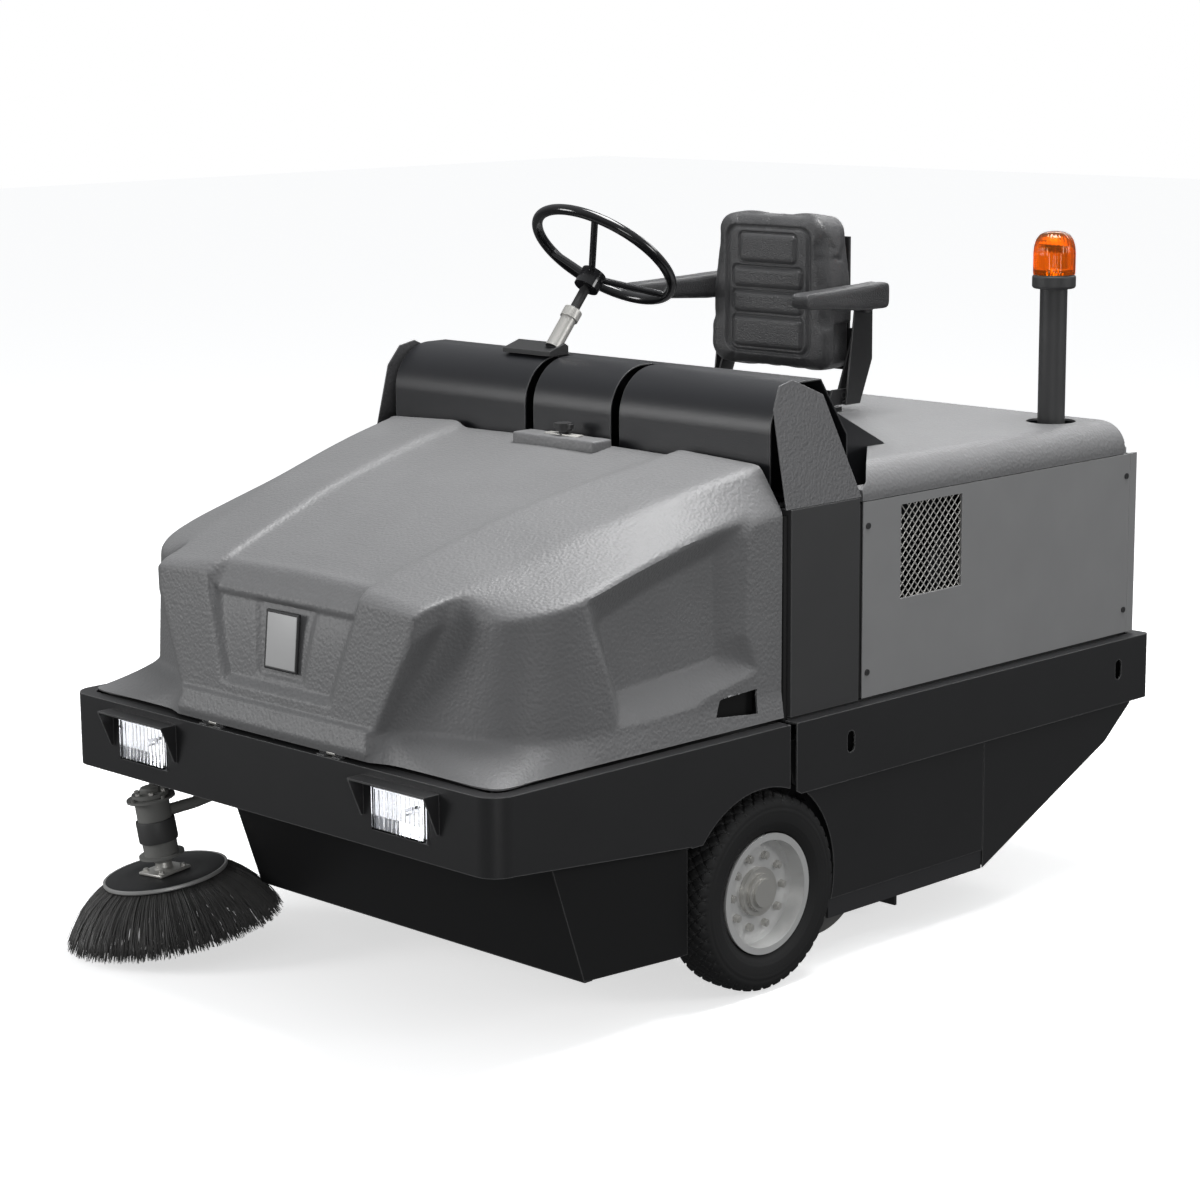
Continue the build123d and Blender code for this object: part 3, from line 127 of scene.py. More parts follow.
for lamp_name, place, target, size, power in LAMPS:
    lamp = bpy.data.lights.new(lamp_name, "AREA")
    lamp.shape, lamp.size, lamp.size_y, lamp.energy = "RECTANGLE", size[0], size[1], power
    box = bpy.data.objects.new(lamp_name, lamp)
    box.location = place
    box.rotation_euler = (Vector(target) - Vector(place)).to_track_quat("-Z", "Y").to_euler()
    bpy.context.scene.collection.objects.link(box)

camera = bpy.data.objects.new("camera", bpy.data.cameras.new("camera"))
bpy.context.scene.collection.objects.link(camera)
camera.data.lens, camera.data.sensor_width = LENS, SENSOR
ahead = Vector((-math.sin(AZIMUTH) * math.cos(ELEVATION), math.cos(AZIMUTH) * math.cos(ELEVATION),
                -math.sin(ELEVATION)))
level = Vector((math.cos(AZIMUTH), math.sin(AZIMUTH), 0))
upright = level.cross(ahead)
across = level * math.cos(ROLL) + upright * math.sin(ROLL)
upward = upright * math.cos(ROLL) - level * math.sin(ROLL)
turned_camera = Matrix((across, upward, -ahead)).transposed().to_4x4()
camera.matrix_world = Matrix.Translation(CAMERA_AT) @ turned_camera
bpy.context.scene.camera = camera

# ------------------------------------------------------------------ frame, engine bay and main brush
# Welded box section in dark chassis paint, with the diesel engine, radiator, tanks and hydraulics on it.
# The roller brush hangs under it in its housing, and the rear wheel steers in its yoke.


def finish(name, colour, rough, grain=700.0, relief=0.05, cloud=0.08, metal=0.0, painted_highlight=0.0, pebble=0.0,
           **shader):
    """A surface finish: colour that clouds slightly, a grain in relief, and a painted highlight that
    lightens the colour along its edges and corners.
    """
    material = bpy.data.materials.new(name)
    material.use_nodes = True
    nodes, links = material.node_tree.nodes, material.node_tree.links
    surface = nodes["Principled BSDF"]
    surface.inputs["Roughness"].default_value = rough
    surface.inputs["Metallic"].default_value = metal
    for socket, value in shader.items():
        surface.inputs[socket.replace("_", " ")].default_value = value
    place = nodes.new("ShaderNodeTexCoord")
    patches = nodes.new("ShaderNodeTexNoise")
    patches.inputs["Scale"].default_value = 7.0
    patches.inputs["Detail"].default_value = 4.0
    links.new(place.outputs["Object"], patches.inputs["Vector"])
    mixed = nodes.new("ShaderNodeMix")
    mixed.data_type = "RGBA"
    mixed.inputs[6].default_value = (*[c * (1 - cloud) for c in colour], 1)
    mixed.inputs[7].default_value = (*[c * (1 + cloud) for c in colour], 1)
    links.new(patches.outputs["Fac"], mixed.inputs[0])
    tint = mixed.outputs[2]
    # Painted highlight: the colour is made lighter along edges and corners, where the rounded bevel normal
    # turns away from the surface's own normal.
    if painted_highlight:
        arris = nodes.new("ShaderNodeBevel")
        arris.inputs["Radius"].default_value = 0.004
        arris.samples = 4
        flat = nodes.new("ShaderNodeNewGeometry")
        turn = nodes.new("ShaderNodeVectorMath")
        turn.operation = "DOT_PRODUCT"
        highlight_share = nodes.new("ShaderNodeMapRange")
        highlight_share.inputs["From Min"].default_value, highlight_share.inputs["From Max"].default_value = 0.995, 0.85
        highlit = nodes.new("ShaderNodeMix")
        highlit.data_type = "RGBA"
        highlit.inputs[7].default_value = (*[min(1, c + painted_highlight) for c in colour], 1)
        links.new(arris.outputs["Normal"], turn.inputs[0])
        links.new(flat.outputs["Normal"], turn.inputs[1])
        links.new(turn.outputs["Value"], highlight_share.inputs["Value"])
        links.new(highlight_share.outputs["Result"], highlit.inputs[0])
        links.new(tint, highlit.inputs[6])
        tint = highlit.outputs[2]
    links.new(tint, surface.inputs["Base Color"])
    fine = nodes.new("ShaderNodeTexNoise")
    fine.inputs["Scale"].default_value = grain
    fine.inputs["Detail"].default_value = 2.0
    links.new(place.outputs["Object"], fine.inputs["Vector"])
    raised = nodes.new("ShaderNodeBump")
    raised.inputs["Strength"].default_value = min(1.0, relief * 4)
    raised.inputs["Distance"].default_value = 0.001
    links.new(fine.outputs["Fac"], raised.inputs["Height"])
    if pebble:
        cells = nodes.new("ShaderNodeTexVoronoi")
        cells.feature = "SMOOTH_F1"
        cells.inputs["Scale"].default_value = pebble
        links.new(place.outputs["Object"], cells.inputs["Vector"])
        domes = nodes.new("ShaderNodeBump")
        domes.invert = True
        domes.inputs["Strength"].default_value = 0.75
        domes.inputs["Distance"].default_value = 0.0016
        links.new(cells.outputs["Distance"], domes.inputs["Height"])
        links.new(raised.outputs["Normal"], domes.inputs["Normal"])
        raised = domes
    links.new(raised.outputs["Normal"], surface.inputs["Normal"])
    return material


def dress(material, slot, *names):
    """Gives CAD nodes their finish."""
    for name in names:
        node = frame["nodes"][name]
        node.data.materials.clear()
        node.data.materials.append(material)


frame_paint = finish("chassis_paint", (0.03, 0.03, 0.032), 0.5, grain=400, relief=0.06)
dress(frame_paint, "frame_paint", "main_frame", "hydraulics", "main_brush_housing", "main_brush_arms",
      "rear_yoke")
engine_paint = finish("engine_paint", (0.06, 0.065, 0.07), 0.5, grain=300, relief=0.12)
dress(engine_paint, "engine_paint", "engine")
alloy = finish("aluminium", (0.16, 0.16, 0.17), 0.5, metal=0.6)
dress(alloy, "aluminium", "radiator")
matt_plastic = finish("matt_black_plastic", (0.022, 0.022, 0.023), 0.55, grain=800, relief=0.08, painted_highlight=0.05)
dress(matt_plastic, "black_plastic", "cooling_fan", "fuel_tank_and_battery")
bristle = finish("stiff_bristle", (0.13, 0.128, 0.125), 0.45, grain=300, relief=0.05, cloud=0.35)
dress(bristle, "bristle", "main_brush_roller")
tyre_rubber = finish("tyre_rubber", (0.0095, 0.0095, 0.0098), 0.70, grain=400, relief=0.1, cloud=0.3,
                     painted_highlight=0.05)
dress(tyre_rubber, "tyre", "rear_wheel")

# ------------------------------------------------------------------ bumpers, lower panels and lift arms
# Folded steel 3 to 6 mm thick in satin black powder coat, which rounds its edges. Each is the pressed
# part itself with its arrises broken. The lift arms carry the front unit on two chromed ram rods.
SHEET_ARRIS = 0.0016


def add(name, mesh, body, material, slot, *stands_for):
    """Puts a finished mesh into the scene as a piece that rides on a body."""
    piece = bpy.data.objects.new(name, mesh)
    bpy.context.scene.collection.objects.link(piece)
    mesh.materials.clear()
    mesh.materials.append(material)
    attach(piece, body)
    if stands_for:
        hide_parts(*stands_for)
    return piece


def only(piece):
    """Selects one piece and nothing else."""
    bpy.ops.object.select_all(action="DESELECT")
    piece.select_set(True)
    bpy.context.view_layer.objects.active = piece


def broken_arris(node_name, width, material, slot, angle=35, second=None, where=None):
    """The pressed or cast part with its sharp corners rounded to a small radius."""
    node = frame["nodes"][node_name]
    mesh = node.data.copy()
    mesh.name = node_name + "_part"
    piece = add(node_name + "_part", mesh, node["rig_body"], material, slot, node_name)
    only(piece)
    bpy.ops.object.mode_set(mode="EDIT")
    bpy.ops.mesh.select_all(action="SELECT")
    bpy.ops.mesh.remove_doubles(threshold=0.00002)
    bpy.ops.mesh.dissolve_limited(angle_limit=math.radians(0.5))
    bpy.ops.object.mode_set(mode="OBJECT")
    bevel = piece.modifiers.new("arris", "BEVEL")
    bevel.width, bevel.segments = width, 2
    bevel.limit_method, bevel.angle_limit = "ANGLE", math.radians(angle)
    bevel.use_clamp_overlap = True
    bpy.ops.object.modifier_apply(modifier=bevel.name)
    bpy.ops.object.shade_smooth_by_angle(angle=math.radians(30))
    even = piece.modifiers.new("even", "WEIGHTED_NORMAL")
    even.keep_sharp, even.weight = True, 100
    bpy.ops.object.modifier_apply(modifier=even.name)
    if second:
        piece.data.materials.append(second)
        for face in piece.data.polygons:
            face.material_index = int(where(*face.center))
    return piece


black_coat = finish("black_powder_coat", (0.026, 0.026, 0.027), 0.38, grain=900, relief=0.05, painted_highlight=0.16,
                    Specular_IOR_Level=0.42)
for node_name in ("front_bumper", "rear_bumper", "lower_panels"):
    broken_arris(node_name, SHEET_ARRIS, black_coat, "black_steel")
# A darker, less glossy copy of the black powder coat for the front skirt, which sits low under the bumper:
# painted shade.
shade_coat = finish("skirt_shaded_black_coat", (0.012, 0.012, 0.0125), 0.45, grain=900, relief=0.05, painted_highlight=0.12,
                    Specular_IOR_Level=0.32)
broken_arris("front_skirt", SHEET_ARRIS, shade_coat, "black_steel")
dress(black_coat, "black_steel", "lift_arms")
bright = finish("bright_reflector", (0.86, 0.86, 0.88), 0.08, relief=0.0, metal=1.0)
dress(bright, "reflector", "lift_ram_rods")

# ------------------------------------------------------------------ dust container
# A welded steel box with open bays under the hood, carried on folded beams, with pleated paper filter
# cassettes standing in it.
dress(frame_paint, "frame_paint", "hopper_frame", "dust_container")
filter_paper = finish("filter_media", (0.62, 0.58, 0.48), 0.9, relief=0.15)
dress(filter_paper, "filter_media", "filter_cassettes")

# ------------------------------------------------------------------ cowl, footwell and pillar panels
# The black folded cowl in front of the driver, its cast end plates with a coarse skin, the footwell
# tray with its two rubber pedals, and the charcoal panels of the pillars.
charcoal = finish("charcoal_satin", (0.018, 0.0185, 0.021), 0.36, grain=500, relief=0.06, painted_highlight=0.16,
                  Specular_IOR_Level=0.42)
for node_name in ("cowl", "footwell"):
    broken_arris(node_name, 0.0015, charcoal, "black_steel")
grained_charcoal = finish("grained_charcoal", (0.105, 0.105, 0.108), 0.42, grain=500, relief=0.06, painted_highlight=0.14,
                          pebble=140)
broken_arris("cowl_end_plates", 0.002, grained_charcoal, "black_steel")
pillar_coat = finish("pillar_coat", (0.055, 0.055, 0.056), 0.44, grain=700, relief=0.1, painted_highlight=0.14,
                     Specular_IOR_Level=0.42)
broken_arris("pillar_panels", SHEET_ARRIS, pillar_coat, "black_steel")
rubber = finish("black_rubber", (0.012, 0.012, 0.012), 0.75, grain=500, relief=0.12, cloud=0.25)
dress(rubber, "rubber", "drive_pedal", "brake_pedal")

# ------------------------------------------------------------------ engine cover and grey panels
# Side and rear panels of painted sheet steel held by black screws, an expanded metal grille in a side
# panel, and a rotation-moulded engine cover with rounded edges and a pebbled skin.
grey_paint = finish("grey_panel_paint", (0.29, 0.29, 0.292), 0.45, grain=1200, relief=0.03, painted_highlight=0.08)
for node_name in ("side_panels", "rear_panel"):
    broken_arris(node_name, 0.0012, grey_paint, "panel_grey")
moulding = finish("grey_moulding", (0.19, 0.19, 0.193), 0.46, grain=600, relief=0.08, pebble=130, painted_highlight=0.06)
broken_arris("engine_cover", 0.003, moulding, "grey_moulding")
plated = finish("zinc_plate", (0.60, 0.59, 0.56), 0.38, grain=900, relief=0.05, metal=0.55)
dress(plated, "zinc", "side_grille")
dress(matt_plastic, "black_plastic", "panel_screws")

# ------------------------------------------------------------------ hood
# One large rotation-moulded cover in mid grey with a pebbled skin, about 5 mm thick. A sunk middle
# panel runs over the nose, and each flank has a sunk field with a hand opening at its lower rear.
# Key points of half a section, rear to nose: middle, inner and outer crest, shoulder, flank edge,
# flank foot and lip, in millimetres from the centre line, the front bumper's face and the floor.
HOOD_SECTIONS = [
    [(0, 985, 1268), (371, 985, 1262), (400, 985, 1279), (667, 985, 1267),
     (740, 985, 1160), (738, 985, 725), (747, 985, 663)],
    [(0, 800, 1237), (350, 800, 1231), (374, 800, 1248), (635, 800, 1231),
     (741, 800, 1146), (739, 800, 725), (747, 800, 663)],
    [(0, 620, 1200), (325, 620, 1194), (346, 620, 1210), (598, 620, 1188),
     (741, 620, 1119), (739, 620, 725), (747, 620, 663)],
    [(0, 470, 1164), (305, 470, 1158), (323, 470, 1173), (565, 470, 1146),
     (740, 470, 1083), (737, 470, 725), (747, 470, 663)],
    [(0, 330, 1121), (287, 330, 1114), (302, 330, 1129), (536, 330, 1098),
     (734, 330, 1044), (731, 330, 725), (747, 330, 663)],
    [(0, 240, 1092), (276, 240, 1085), (290, 240, 1100), (514, 240, 1072),
     (692, 238, 1019), (688, 222, 725), (747, 165, 663)],
    [(0, 190, 1075), (269, 190, 1068), (283, 190, 1083), (504, 190, 1056),
     (622, 183, 1001), (612, 158, 725), (744, 62, 663)],
    [(0, 165, 1065), (266, 165, 1059), (280, 165, 1074), (498, 165, 1048),
     (530, 164, 992), (478, 112, 725), (690, 38, 663)],
    [(0, 138, 1055), (262, 138, 1049), (276, 138, 1065), (491, 138, 1040),
     (490, 137, 984), (405, 76, 725), (560, 38, 663)],
    [(0, 111, 1045), (259, 111, 1040), (271, 106, 1051), (483, 102, 1031),
     (480, 100, 975), (375, 55, 725), (430, 36, 663)],
    [(0, 88, 1012), (261, 88, 1009), (271, 78, 1039), (478, 76, 1023),
     (474, 74, 962), (366, 40, 725), (380, 25, 663)],
    [(0, 66, 980), (264, 66, 978), (271, 57, 1018), (474, 55, 1010),
     (468, 52, 950), (354, 27, 725), (345, 10, 663)],
]
ROW_SPACING = 7.0
SECTION_STEPS = (26, 4, 20, 14, 56, 10)
LIP_Z = 663
NOSE_HEIGHTS, NOSE_LEAN = (663, 725, 1010), (10, 27, 55)
NOSE_TAPER = 0.28
FIELD_RIM = [(331, 1040), (500, 1086), (708, 1137), (900, 1176), (866, 1116), (856, 885), (902, 792),
             (735, 762), (690, 742), (560, 734), (430, 735), (399, 865), (352, 961)]
FIELD_FLOOR = [(410, 976), (555, 1026), (786, 1083), (798, 828), (470, 803), (440, 870)]
FIELD_DEPTH = 46.0
HAND_HOLE = [(752, 702), (768, 742), (898, 748), (896, 688)]
HOLE_SNAP, HOLE_X = 5.2, 700
FLANK_X = 690
NOSE_RIM = [(-200, 762), (200, 762), (272, 985), (-272, 985)]
NOSE_FLOOR = [(-182, 785), (182, 785), (246, 966), (-246, 966)]
NOSE_DEPTH = 15
PLATE_RIM = [(-86, 793), (86, 793), (112, 975), (-112, 975)]
PLATE_FLOOR = [(-76, 803), (76, 803), (102, 967), (-102, 967)]
PLATE_DEPTH = 7
STEP_HALF, STEP_TOP, STEP_DEPTH = 352, 738, 9
LIP_SETBACK, LIP_LEAN = 14.5, 0.364
HOOD_WALL = 0.005
FRAME_X, FRAME_Y = 45.958, 1155.11


def at(x, y, z):
    """A place in metres, from millimetres off the centre line, the bumper's face and the floor."""
    return ((x + FRAME_X) / 1000, (y - FRAME_Y) / 1000, z / 1000)


def eased_rows(sections, spacing):
    """Rows between given sections, on smooth curves through their key points."""
    keys = np.array(sections, float)
    gaps = np.linalg.norm(np.diff(keys[:, :5], axis=0), axis=2).mean(1)
    run = np.concatenate([[0], np.cumsum(gaps)])
    slope = np.zeros_like(keys)
    slope[1:-1] = (keys[2:] - keys[:-2]) / (run[2:] - run[:-2])[:, None, None]
    slope[0], slope[-1] = (keys[1] - keys[0]) / gaps[0], (keys[-1] - keys[-2]) / gaps[-1]
    rows = []
    for i, gap in enumerate(gaps):
        count = max(2, round(gap / spacing))
        for t in np.arange(count) / count:
            a, b = 2 * t**3 - 3 * t**2 + 1, t**3 - 2 * t**2 + t
            c, d = -2 * t**3 + 3 * t**2, t**3 - t**2
            rows.append(a * keys[i] + b * gap * slope[i] + c * keys[i + 1] + d * gap * slope[i + 1])
    return np.array(rows + [keys[-1]])


def inside(points, corners):
    """Whether each flat point lies in a polygon, and how far it is from its rim."""
    corners = np.array(corners, float)
    ends = np.roll(corners, -1, axis=0)
    far = np.full(len(points), 1e9)
    within = np.zeros(len(points), bool)
    for p, q in zip(corners, ends):
        side = q - p
        t = np.clip(((points - p) @ side) / (side @ side), 0, 1)
        far = np.minimum(far, np.linalg.norm(points - p - t[:, None] * side, axis=1))
        crosses = (p[1] > points[:, 1]) != (q[1] > points[:, 1])
        with np.errstate(divide="ignore", invalid="ignore"):
            cut = (q[0] - p[0]) * (points[:, 1] - p[1]) / (q[1] - p[1]) + p[0]
        within ^= crosses & (points[:, 0] < cut)
    return within, far


def sunk(points, rim, bottom):
    """0 outside a field's rim, 1 on its floor, and a slope between."""
    in_rim, from_rim = inside(points, rim)
    in_floor, from_floor = inside(points, bottom)
    return np.where(in_floor, 1.0, np.where(in_rim, from_rim / (from_rim + from_floor + 1e-6), 0.0))


def nearest_on_rim(place, corners):
    """The point of a polygon's rim that lies nearest to a flat point."""
    feet = []
    for p, q in zip(corners, corners[1:] + corners[:1]):
        start, end = np.array(p, float), np.array(q, float)
        share = np.clip(((place - start) @ (end - start)) / ((end - start) @ (end - start)), 0, 1)
        feet.append(start + share * (end - start))
    return min(feet, key=lambda foot: np.linalg.norm(place - foot))


half_rows = []
for keys in eased_rows(HOOD_SECTIONS, ROW_SPACING):
    line = [keys[0]]
    for (a, b), count in zip(zip(keys, keys[1:]), SECTION_STEPS):
        line += [a + (b - a) * i / count for i in range(1, count + 1)]
    line = np.array(line)
    for _ in range(2):
        line[1:-1] = line[1:-1] / 2 + line[:-2] / 4 + line[2:] / 4
    half_rows.append(line)
half_rows = np.array(half_rows)
flipped = half_rows[:, :0:-1] * (-1, 1, 1)
cover = np.concatenate([flipped, half_rows], axis=1)
row_count, column_count = cover.shape[:2]

# The nose face hangs from the front row's top line, between its two side lines.
top_columns = sum(SECTION_STEPS[:3])
crest_column = SECTION_STEPS[0] + SECTION_STEPS[1] / 2
front = half_rows[-1]
side_line = front[top_columns:]
nose_half = np.zeros((len(side_line), top_columns + 1, 3))
drop = (side_line[:, 2] - side_line[0, 2]) / (side_line[-1, 2] - side_line[0, 2])
for i in range(top_columns + 1):
    start = front[i]
    share = start[0] / side_line[0, 0]
    narrow = 1 - NOSE_TAPER * drop * min(1, (top_columns - i) / (top_columns - crest_column))
    nose_half[:, i, 2] = start[2] + (side_line[-1, 2] - start[2]) * drop
    nose_half[:, i, 0] = side_line[:, 0] * share * narrow
    lean = np.interp(nose_half[:, i, 2], NOSE_HEIGHTS, NOSE_LEAN)
    off_lean = start[1] - np.interp(start[2], NOSE_HEIGHTS, NOSE_LEAN)
    nose_half[:, i, 1] = lean + off_lean * (1 - drop) ** 6
nose_half[:, -1] = side_line
nose_face = np.concatenate([nose_half[:, :0:-1] * (-1, 1, 1), nose_half], axis=1)


def grid_faces(first, rows, columns):
    """Quads between the neighbouring points of a grid whose points start at a given number."""
    corner = [first + r * columns + c for r in range(rows - 1) for c in range(columns - 1)]
    return [(i, i + 1, i + columns + 1, i + columns) for i in corner]


points = np.concatenate([cover.reshape(-1, 3), nose_face.reshape(-1, 3)])
faces = grid_faces(0, row_count, column_count)
faces += grid_faces(row_count * column_count, len(side_line), nose_face.shape[1])
shell = bpy.data.meshes.new("hood_moulding")
shell.from_pydata(points.tolist(), [], faces)
form = bmesh.new()
form.from_mesh(shell)
bmesh.ops.remove_doubles(form, verts=form.verts, dist=0.05)
bmesh.ops.recalc_face_normals(form, faces=form.faces)
form.verts.ensure_lookup_table()
raw = np.array([v.co for v in form.verts])
pairs = np.array([[v.index for v in e.verts] for e in form.edges])
open_edge = np.zeros(len(raw), bool)
for edge in form.edges:
    if edge.is_boundary:
        open_edge[[v.index for v in edge.verts]] = True
degree = np.bincount(pairs.ravel(), minlength=len(raw))[:, None]


def relax(values, times, held):
    """Moves each point half way to the middle of its neighbours, as a moulding's corners are rounded."""
    for _ in range(times):
        around = np.zeros_like(values)
        np.add.at(around, pairs[:, 0], values[pairs[:, 1]])
        np.add.at(around, pairs[:, 1], values[pairs[:, 0]])
        values = np.where(held[:, None], values, values / 2 + around / degree / 2)
    return values


eased = relax(raw, 3, open_edge)
on_flank = np.abs(raw[:, 0]) > FLANK_X
on_nose = raw[:, 1] < 68
field = np.where(on_flank, sunk(raw[:, 1:], FIELD_RIM, FIELD_FLOOR), 0) * FIELD_DEPTH
nose_field = np.where(on_nose, sunk(raw[:, [0, 2]], NOSE_RIM, NOSE_FLOOR), 0) * NOSE_DEPTH
plate_field = np.where(on_nose, sunk(raw[:, [0, 2]], PLATE_RIM, PLATE_FLOOR), 0) * PLATE_DEPTH
on_step = (raw[:, 1] < 60) & (np.abs(raw[:, 0]) < STEP_HALF)
step = np.where(on_step, np.clip((STEP_TOP - raw[:, 2]) / 8, 0, 1), 0) * STEP_DEPTH
depth = np.stack([-np.sign(raw[:, 0]) * field, nose_field + plate_field - step, np.zeros(len(raw))], axis=1)
eased += relax(depth, 1, open_edge)
foremost = np.maximum(4, LIP_SETBACK - LIP_LEAN * (eased[:, 2] - LIP_Z))
eased[:, 1] = np.maximum(eased[:, 1], foremost)
for vertex, place in zip(form.verts, eased):
    vertex.co = at(*place)

# Points near the hand opening's outline slide on to it, so that it is cut clean.
_, from_outline = inside(raw[:, 1:], HAND_HOLE)
for index in np.nonzero((np.abs(raw[:, 0]) >= FLANK_X) & (from_outline <= HOLE_SNAP))[0]:
    foot = nearest_on_rim(raw[index, 1:], HAND_HOLE)
    eased[index, 1:] += foot - raw[index, 1:]
    raw[index, 1:] = foot
    form.verts[index].co = at(*eased[index])
middles = np.array([np.mean([raw[v.index] for v in f.verts], axis=0) for f in form.faces])
in_hole, _ = inside(middles[:, 1:], HAND_HOLE)
form.faces.ensure_lookup_table()
opening = [face for face, gone, middle in zip(form.faces, in_hole, middles)
           if gone and abs(middle[0]) > HOLE_X]
bmesh.ops.delete(form, geom=opening, context="FACES")
bmesh.ops.recalc_face_normals(form, faces=form.faces)
form.to_mesh(shell)
form.free()
hood_piece = add("hood_moulding", shell, "hood", moulding, "grey_moulding", "hood")
if sum(p.normal.z * p.area for p in shell.polygons) < 0:
    shell.flip_normals()
wall = hood_piece.modifiers.new("wall", "SOLIDIFY")
wall.thickness, wall.offset = HOOD_WALL, -1.0
only(hood_piece)
bpy.ops.object.modifier_apply(modifier=wall.name)
bpy.ops.object.shade_smooth_by_angle(angle=math.radians(40))

# ------------------------------------------------------------------ name plate without a name
# A bare stamped plate in the nose's sunk field, pale grey with a dark border line. It carries no mark.
PLATE_X, PLATE_Z = (-60, 60), (816, 956)
PLATE_THICK = 6
PLATE_STAND = 19
PLATE_BORDER = 6.4

bpy.ops.object.select_all(action="DESELECT")
bpy.ops.mesh.primitive_cube_add(size=1)
plate = bpy.context.object
plate.name = "blank_plate"
for vertex in plate.data.vertices:
    x, z = PLATE_X[vertex.co.x > 0], PLATE_Z[vertex.co.z > 0]
    lean = np.interp(z, NOSE_HEIGHTS[1:], NOSE_LEAN[1:]) + PLATE_STAND
    vertex.co = at(x, lean - (PLATE_THICK if vertex.co.y < 0 else 0), z)
only(plate)
bpy.ops.object.mode_set(mode="EDIT")
bpy.ops.mesh.select_mode(type="FACE")
bpy.ops.mesh.select_all(action="DESELECT")
plate_form = bmesh.from_edit_mesh(plate.data)
for face in plate_form.faces:
    face.select_set(face.normal.y < -0.9)
bmesh.update_edit_mesh(plate.data)
bpy.ops.mesh.inset(thickness=0.0035, depth=0.0015)
bpy.ops.mesh.inset(thickness=0.0028, depth=-0.001)
bpy.ops.mesh.inset(thickness=0.001, depth=0.001)
bpy.ops.object.mode_set(mode="OBJECT")
bevel = plate.modifiers.new("arris", "BEVEL")
bevel.width, bevel.segments = 0.0008, 2
bpy.ops.object.modifier_apply(modifier=bevel.name)
bpy.ops.object.shade_smooth_by_angle(angle=math.radians(30))
plate_grey = finish("plate_grey", (0.56, 0.56, 0.56), 0.4, grain=1500, relief=0.03, cloud=0.03)
plate.data.materials.clear()
plate.data.materials.append(plate_grey)
plate.data.materials.append(matt_plastic)
for face in plate.data.polygons:
    x, z = face.center.x * 1000 - FRAME_X, face.center.z * 1000
    rim = min(x - PLATE_X[0], PLATE_X[1] - x, z - PLATE_Z[0], PLATE_Z[1] - z)
    face.material_index = int(rim < PLATE_BORDER)
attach(plate, "hood")

# ------------------------------------------------------------------ hood fittings
# Steel hinge leaves and a black latch knob, a raised tongue that takes the latch, near-black cups behind
# the two hand openings and near-black strips in the gap between the front unit and the pillars, both painted
# shade for the dark inside seen through them.
CUP_X, CUP_Y, CUP_Z = (694, 716), (744, 908), (676, 760)
GAP_SHADE_X, GAP_SHADE_Y, GAP_SHADE_Z = (702, 740), (990, 1004), (640, 1150)


def bevelled_block(name, low, high, width, body, material):
    """A block with its arrises rounded, from its low and high corners in millimetres."""
    bpy.ops.object.select_all(action="DESELECT")
    bpy.ops.mesh.primitive_cube_add(size=1)
    piece = bpy.context.object
    piece.name = name
    for vertex in piece.data.vertices:
        vertex.co = at(*[high[i] if vertex.co[i] > 0 else low[i] for i in range(3)])
    rounding = piece.modifiers.new("arris", "BEVEL")
    rounding.width, rounding.segments = width, 3
    only(piece)
    bpy.ops.object.modifier_apply(modifier=rounding.name)
    bpy.ops.object.shade_smooth_by_angle(angle=math.radians(35))
    piece.data.materials.append(material)
    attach(piece, body)


def side_block(name, side, x, y, z, width, body, material):
    """A bevelled block on the left or the right side, from its spans in millimetres."""
    low_x, high_x = sorted((side * x[0], side * x[1]))
    name += "_left" if side > 0 else "_right"
    bevelled_block(name, (low_x, y[0], z[0]), (high_x, y[1], z[1]), width, body, material)


dress(plated, "zinc", "hood_hinge_leaves")
dress(matt_plastic, "black_plastic", "latch_knob")
# Near-black and rough: painted shade for the dark inside seen through the hand openings.
hole_shade_black = finish("painted_shade_black", (0.004, 0.004, 0.004), 0.9, grain=500, relief=0.05)
# Near-black strips in slits and gaps: painted shade for the dark inside seen through them.
shade_strip = finish("shade_strip", (0.010, 0.010, 0.010), 0.8, grain=500, relief=0.1)
bevelled_block("latch_tongue", (-118, 916, 1250), (174, 984, 1283), 0.006, "hood", moulding)
bevelled_block("latch_strike", (-28, 944, 1282), (90, 968, 1287), 0.0015, "hood", plated)
for side in (1, -1):
    side_block("hand_hole_shade_cup", side, CUP_X, CUP_Y, CUP_Z, 0.004, "hood", hole_shade_black)
    side_block("pillar_gap_shade", side, GAP_SHADE_X, GAP_SHADE_Y, GAP_SHADE_Z, 0.003, "chassis", shade_strip)

# ------------------------------------------------------------------ shade strips and corner blocks
# Near-black strips fill the slits above the bumpers, behind the pillars and behind the lower panels'
# seam, as painted shade for the dark inside seen through them, and painted blocks close the two rear corners
# under the engine cover.
STRIP_X = (700, 745)
SEAM_X, SEAM_Y = (727, 735.5), 1775.0

for side in (1, -1):
    side_block("corner_block", side, (694, 738), (2334, 2380), (1136, 1170), 0.004, "chassis", grey_paint)
    side_block("hood_strip", side, STRIP_X, (75, 980), (636, 652), 0.002, "hopper", shade_strip)
    side_block("panel_strip", side, STRIP_X, (1000, 2350), (640, 660), 0.002, "chassis", shade_strip)
    side_block("pillar_strip", side, STRIP_X, (1244, 1284), (661, 1148), 0.002, "chassis", shade_strip)
    side_block("seam_strip", side, SEAM_X, (SEAM_Y - 12, SEAM_Y + 14), (128, 598), 0.001, "chassis",
               shade_strip)
bevelled_block("hood_strip_front", (-690, 40, 636), (690, 75, 652), 0.002, "hopper", shade_strip)
bevelled_block("panel_strip_rear", (-730, 2340, 640), (730, 2402, 660), 0.002, "chassis", shade_strip)

# ------------------------------------------------------------------ headlights
# Two rectangular lamps: a folded black visor, a bright reflector housing and a ribbed clear lens.
dress(black_coat, "black_steel", "headlight_visors")
dress(bright, "reflector", "headlight_housings")
clear = finish("clear_glass", (0.95, 0.96, 0.97), 0.05, relief=0.0, cloud=0.0, Transmission_Weight=1.0,
               IOR=1.3)
dress(clear, "clear_lens", "headlight_lenses")

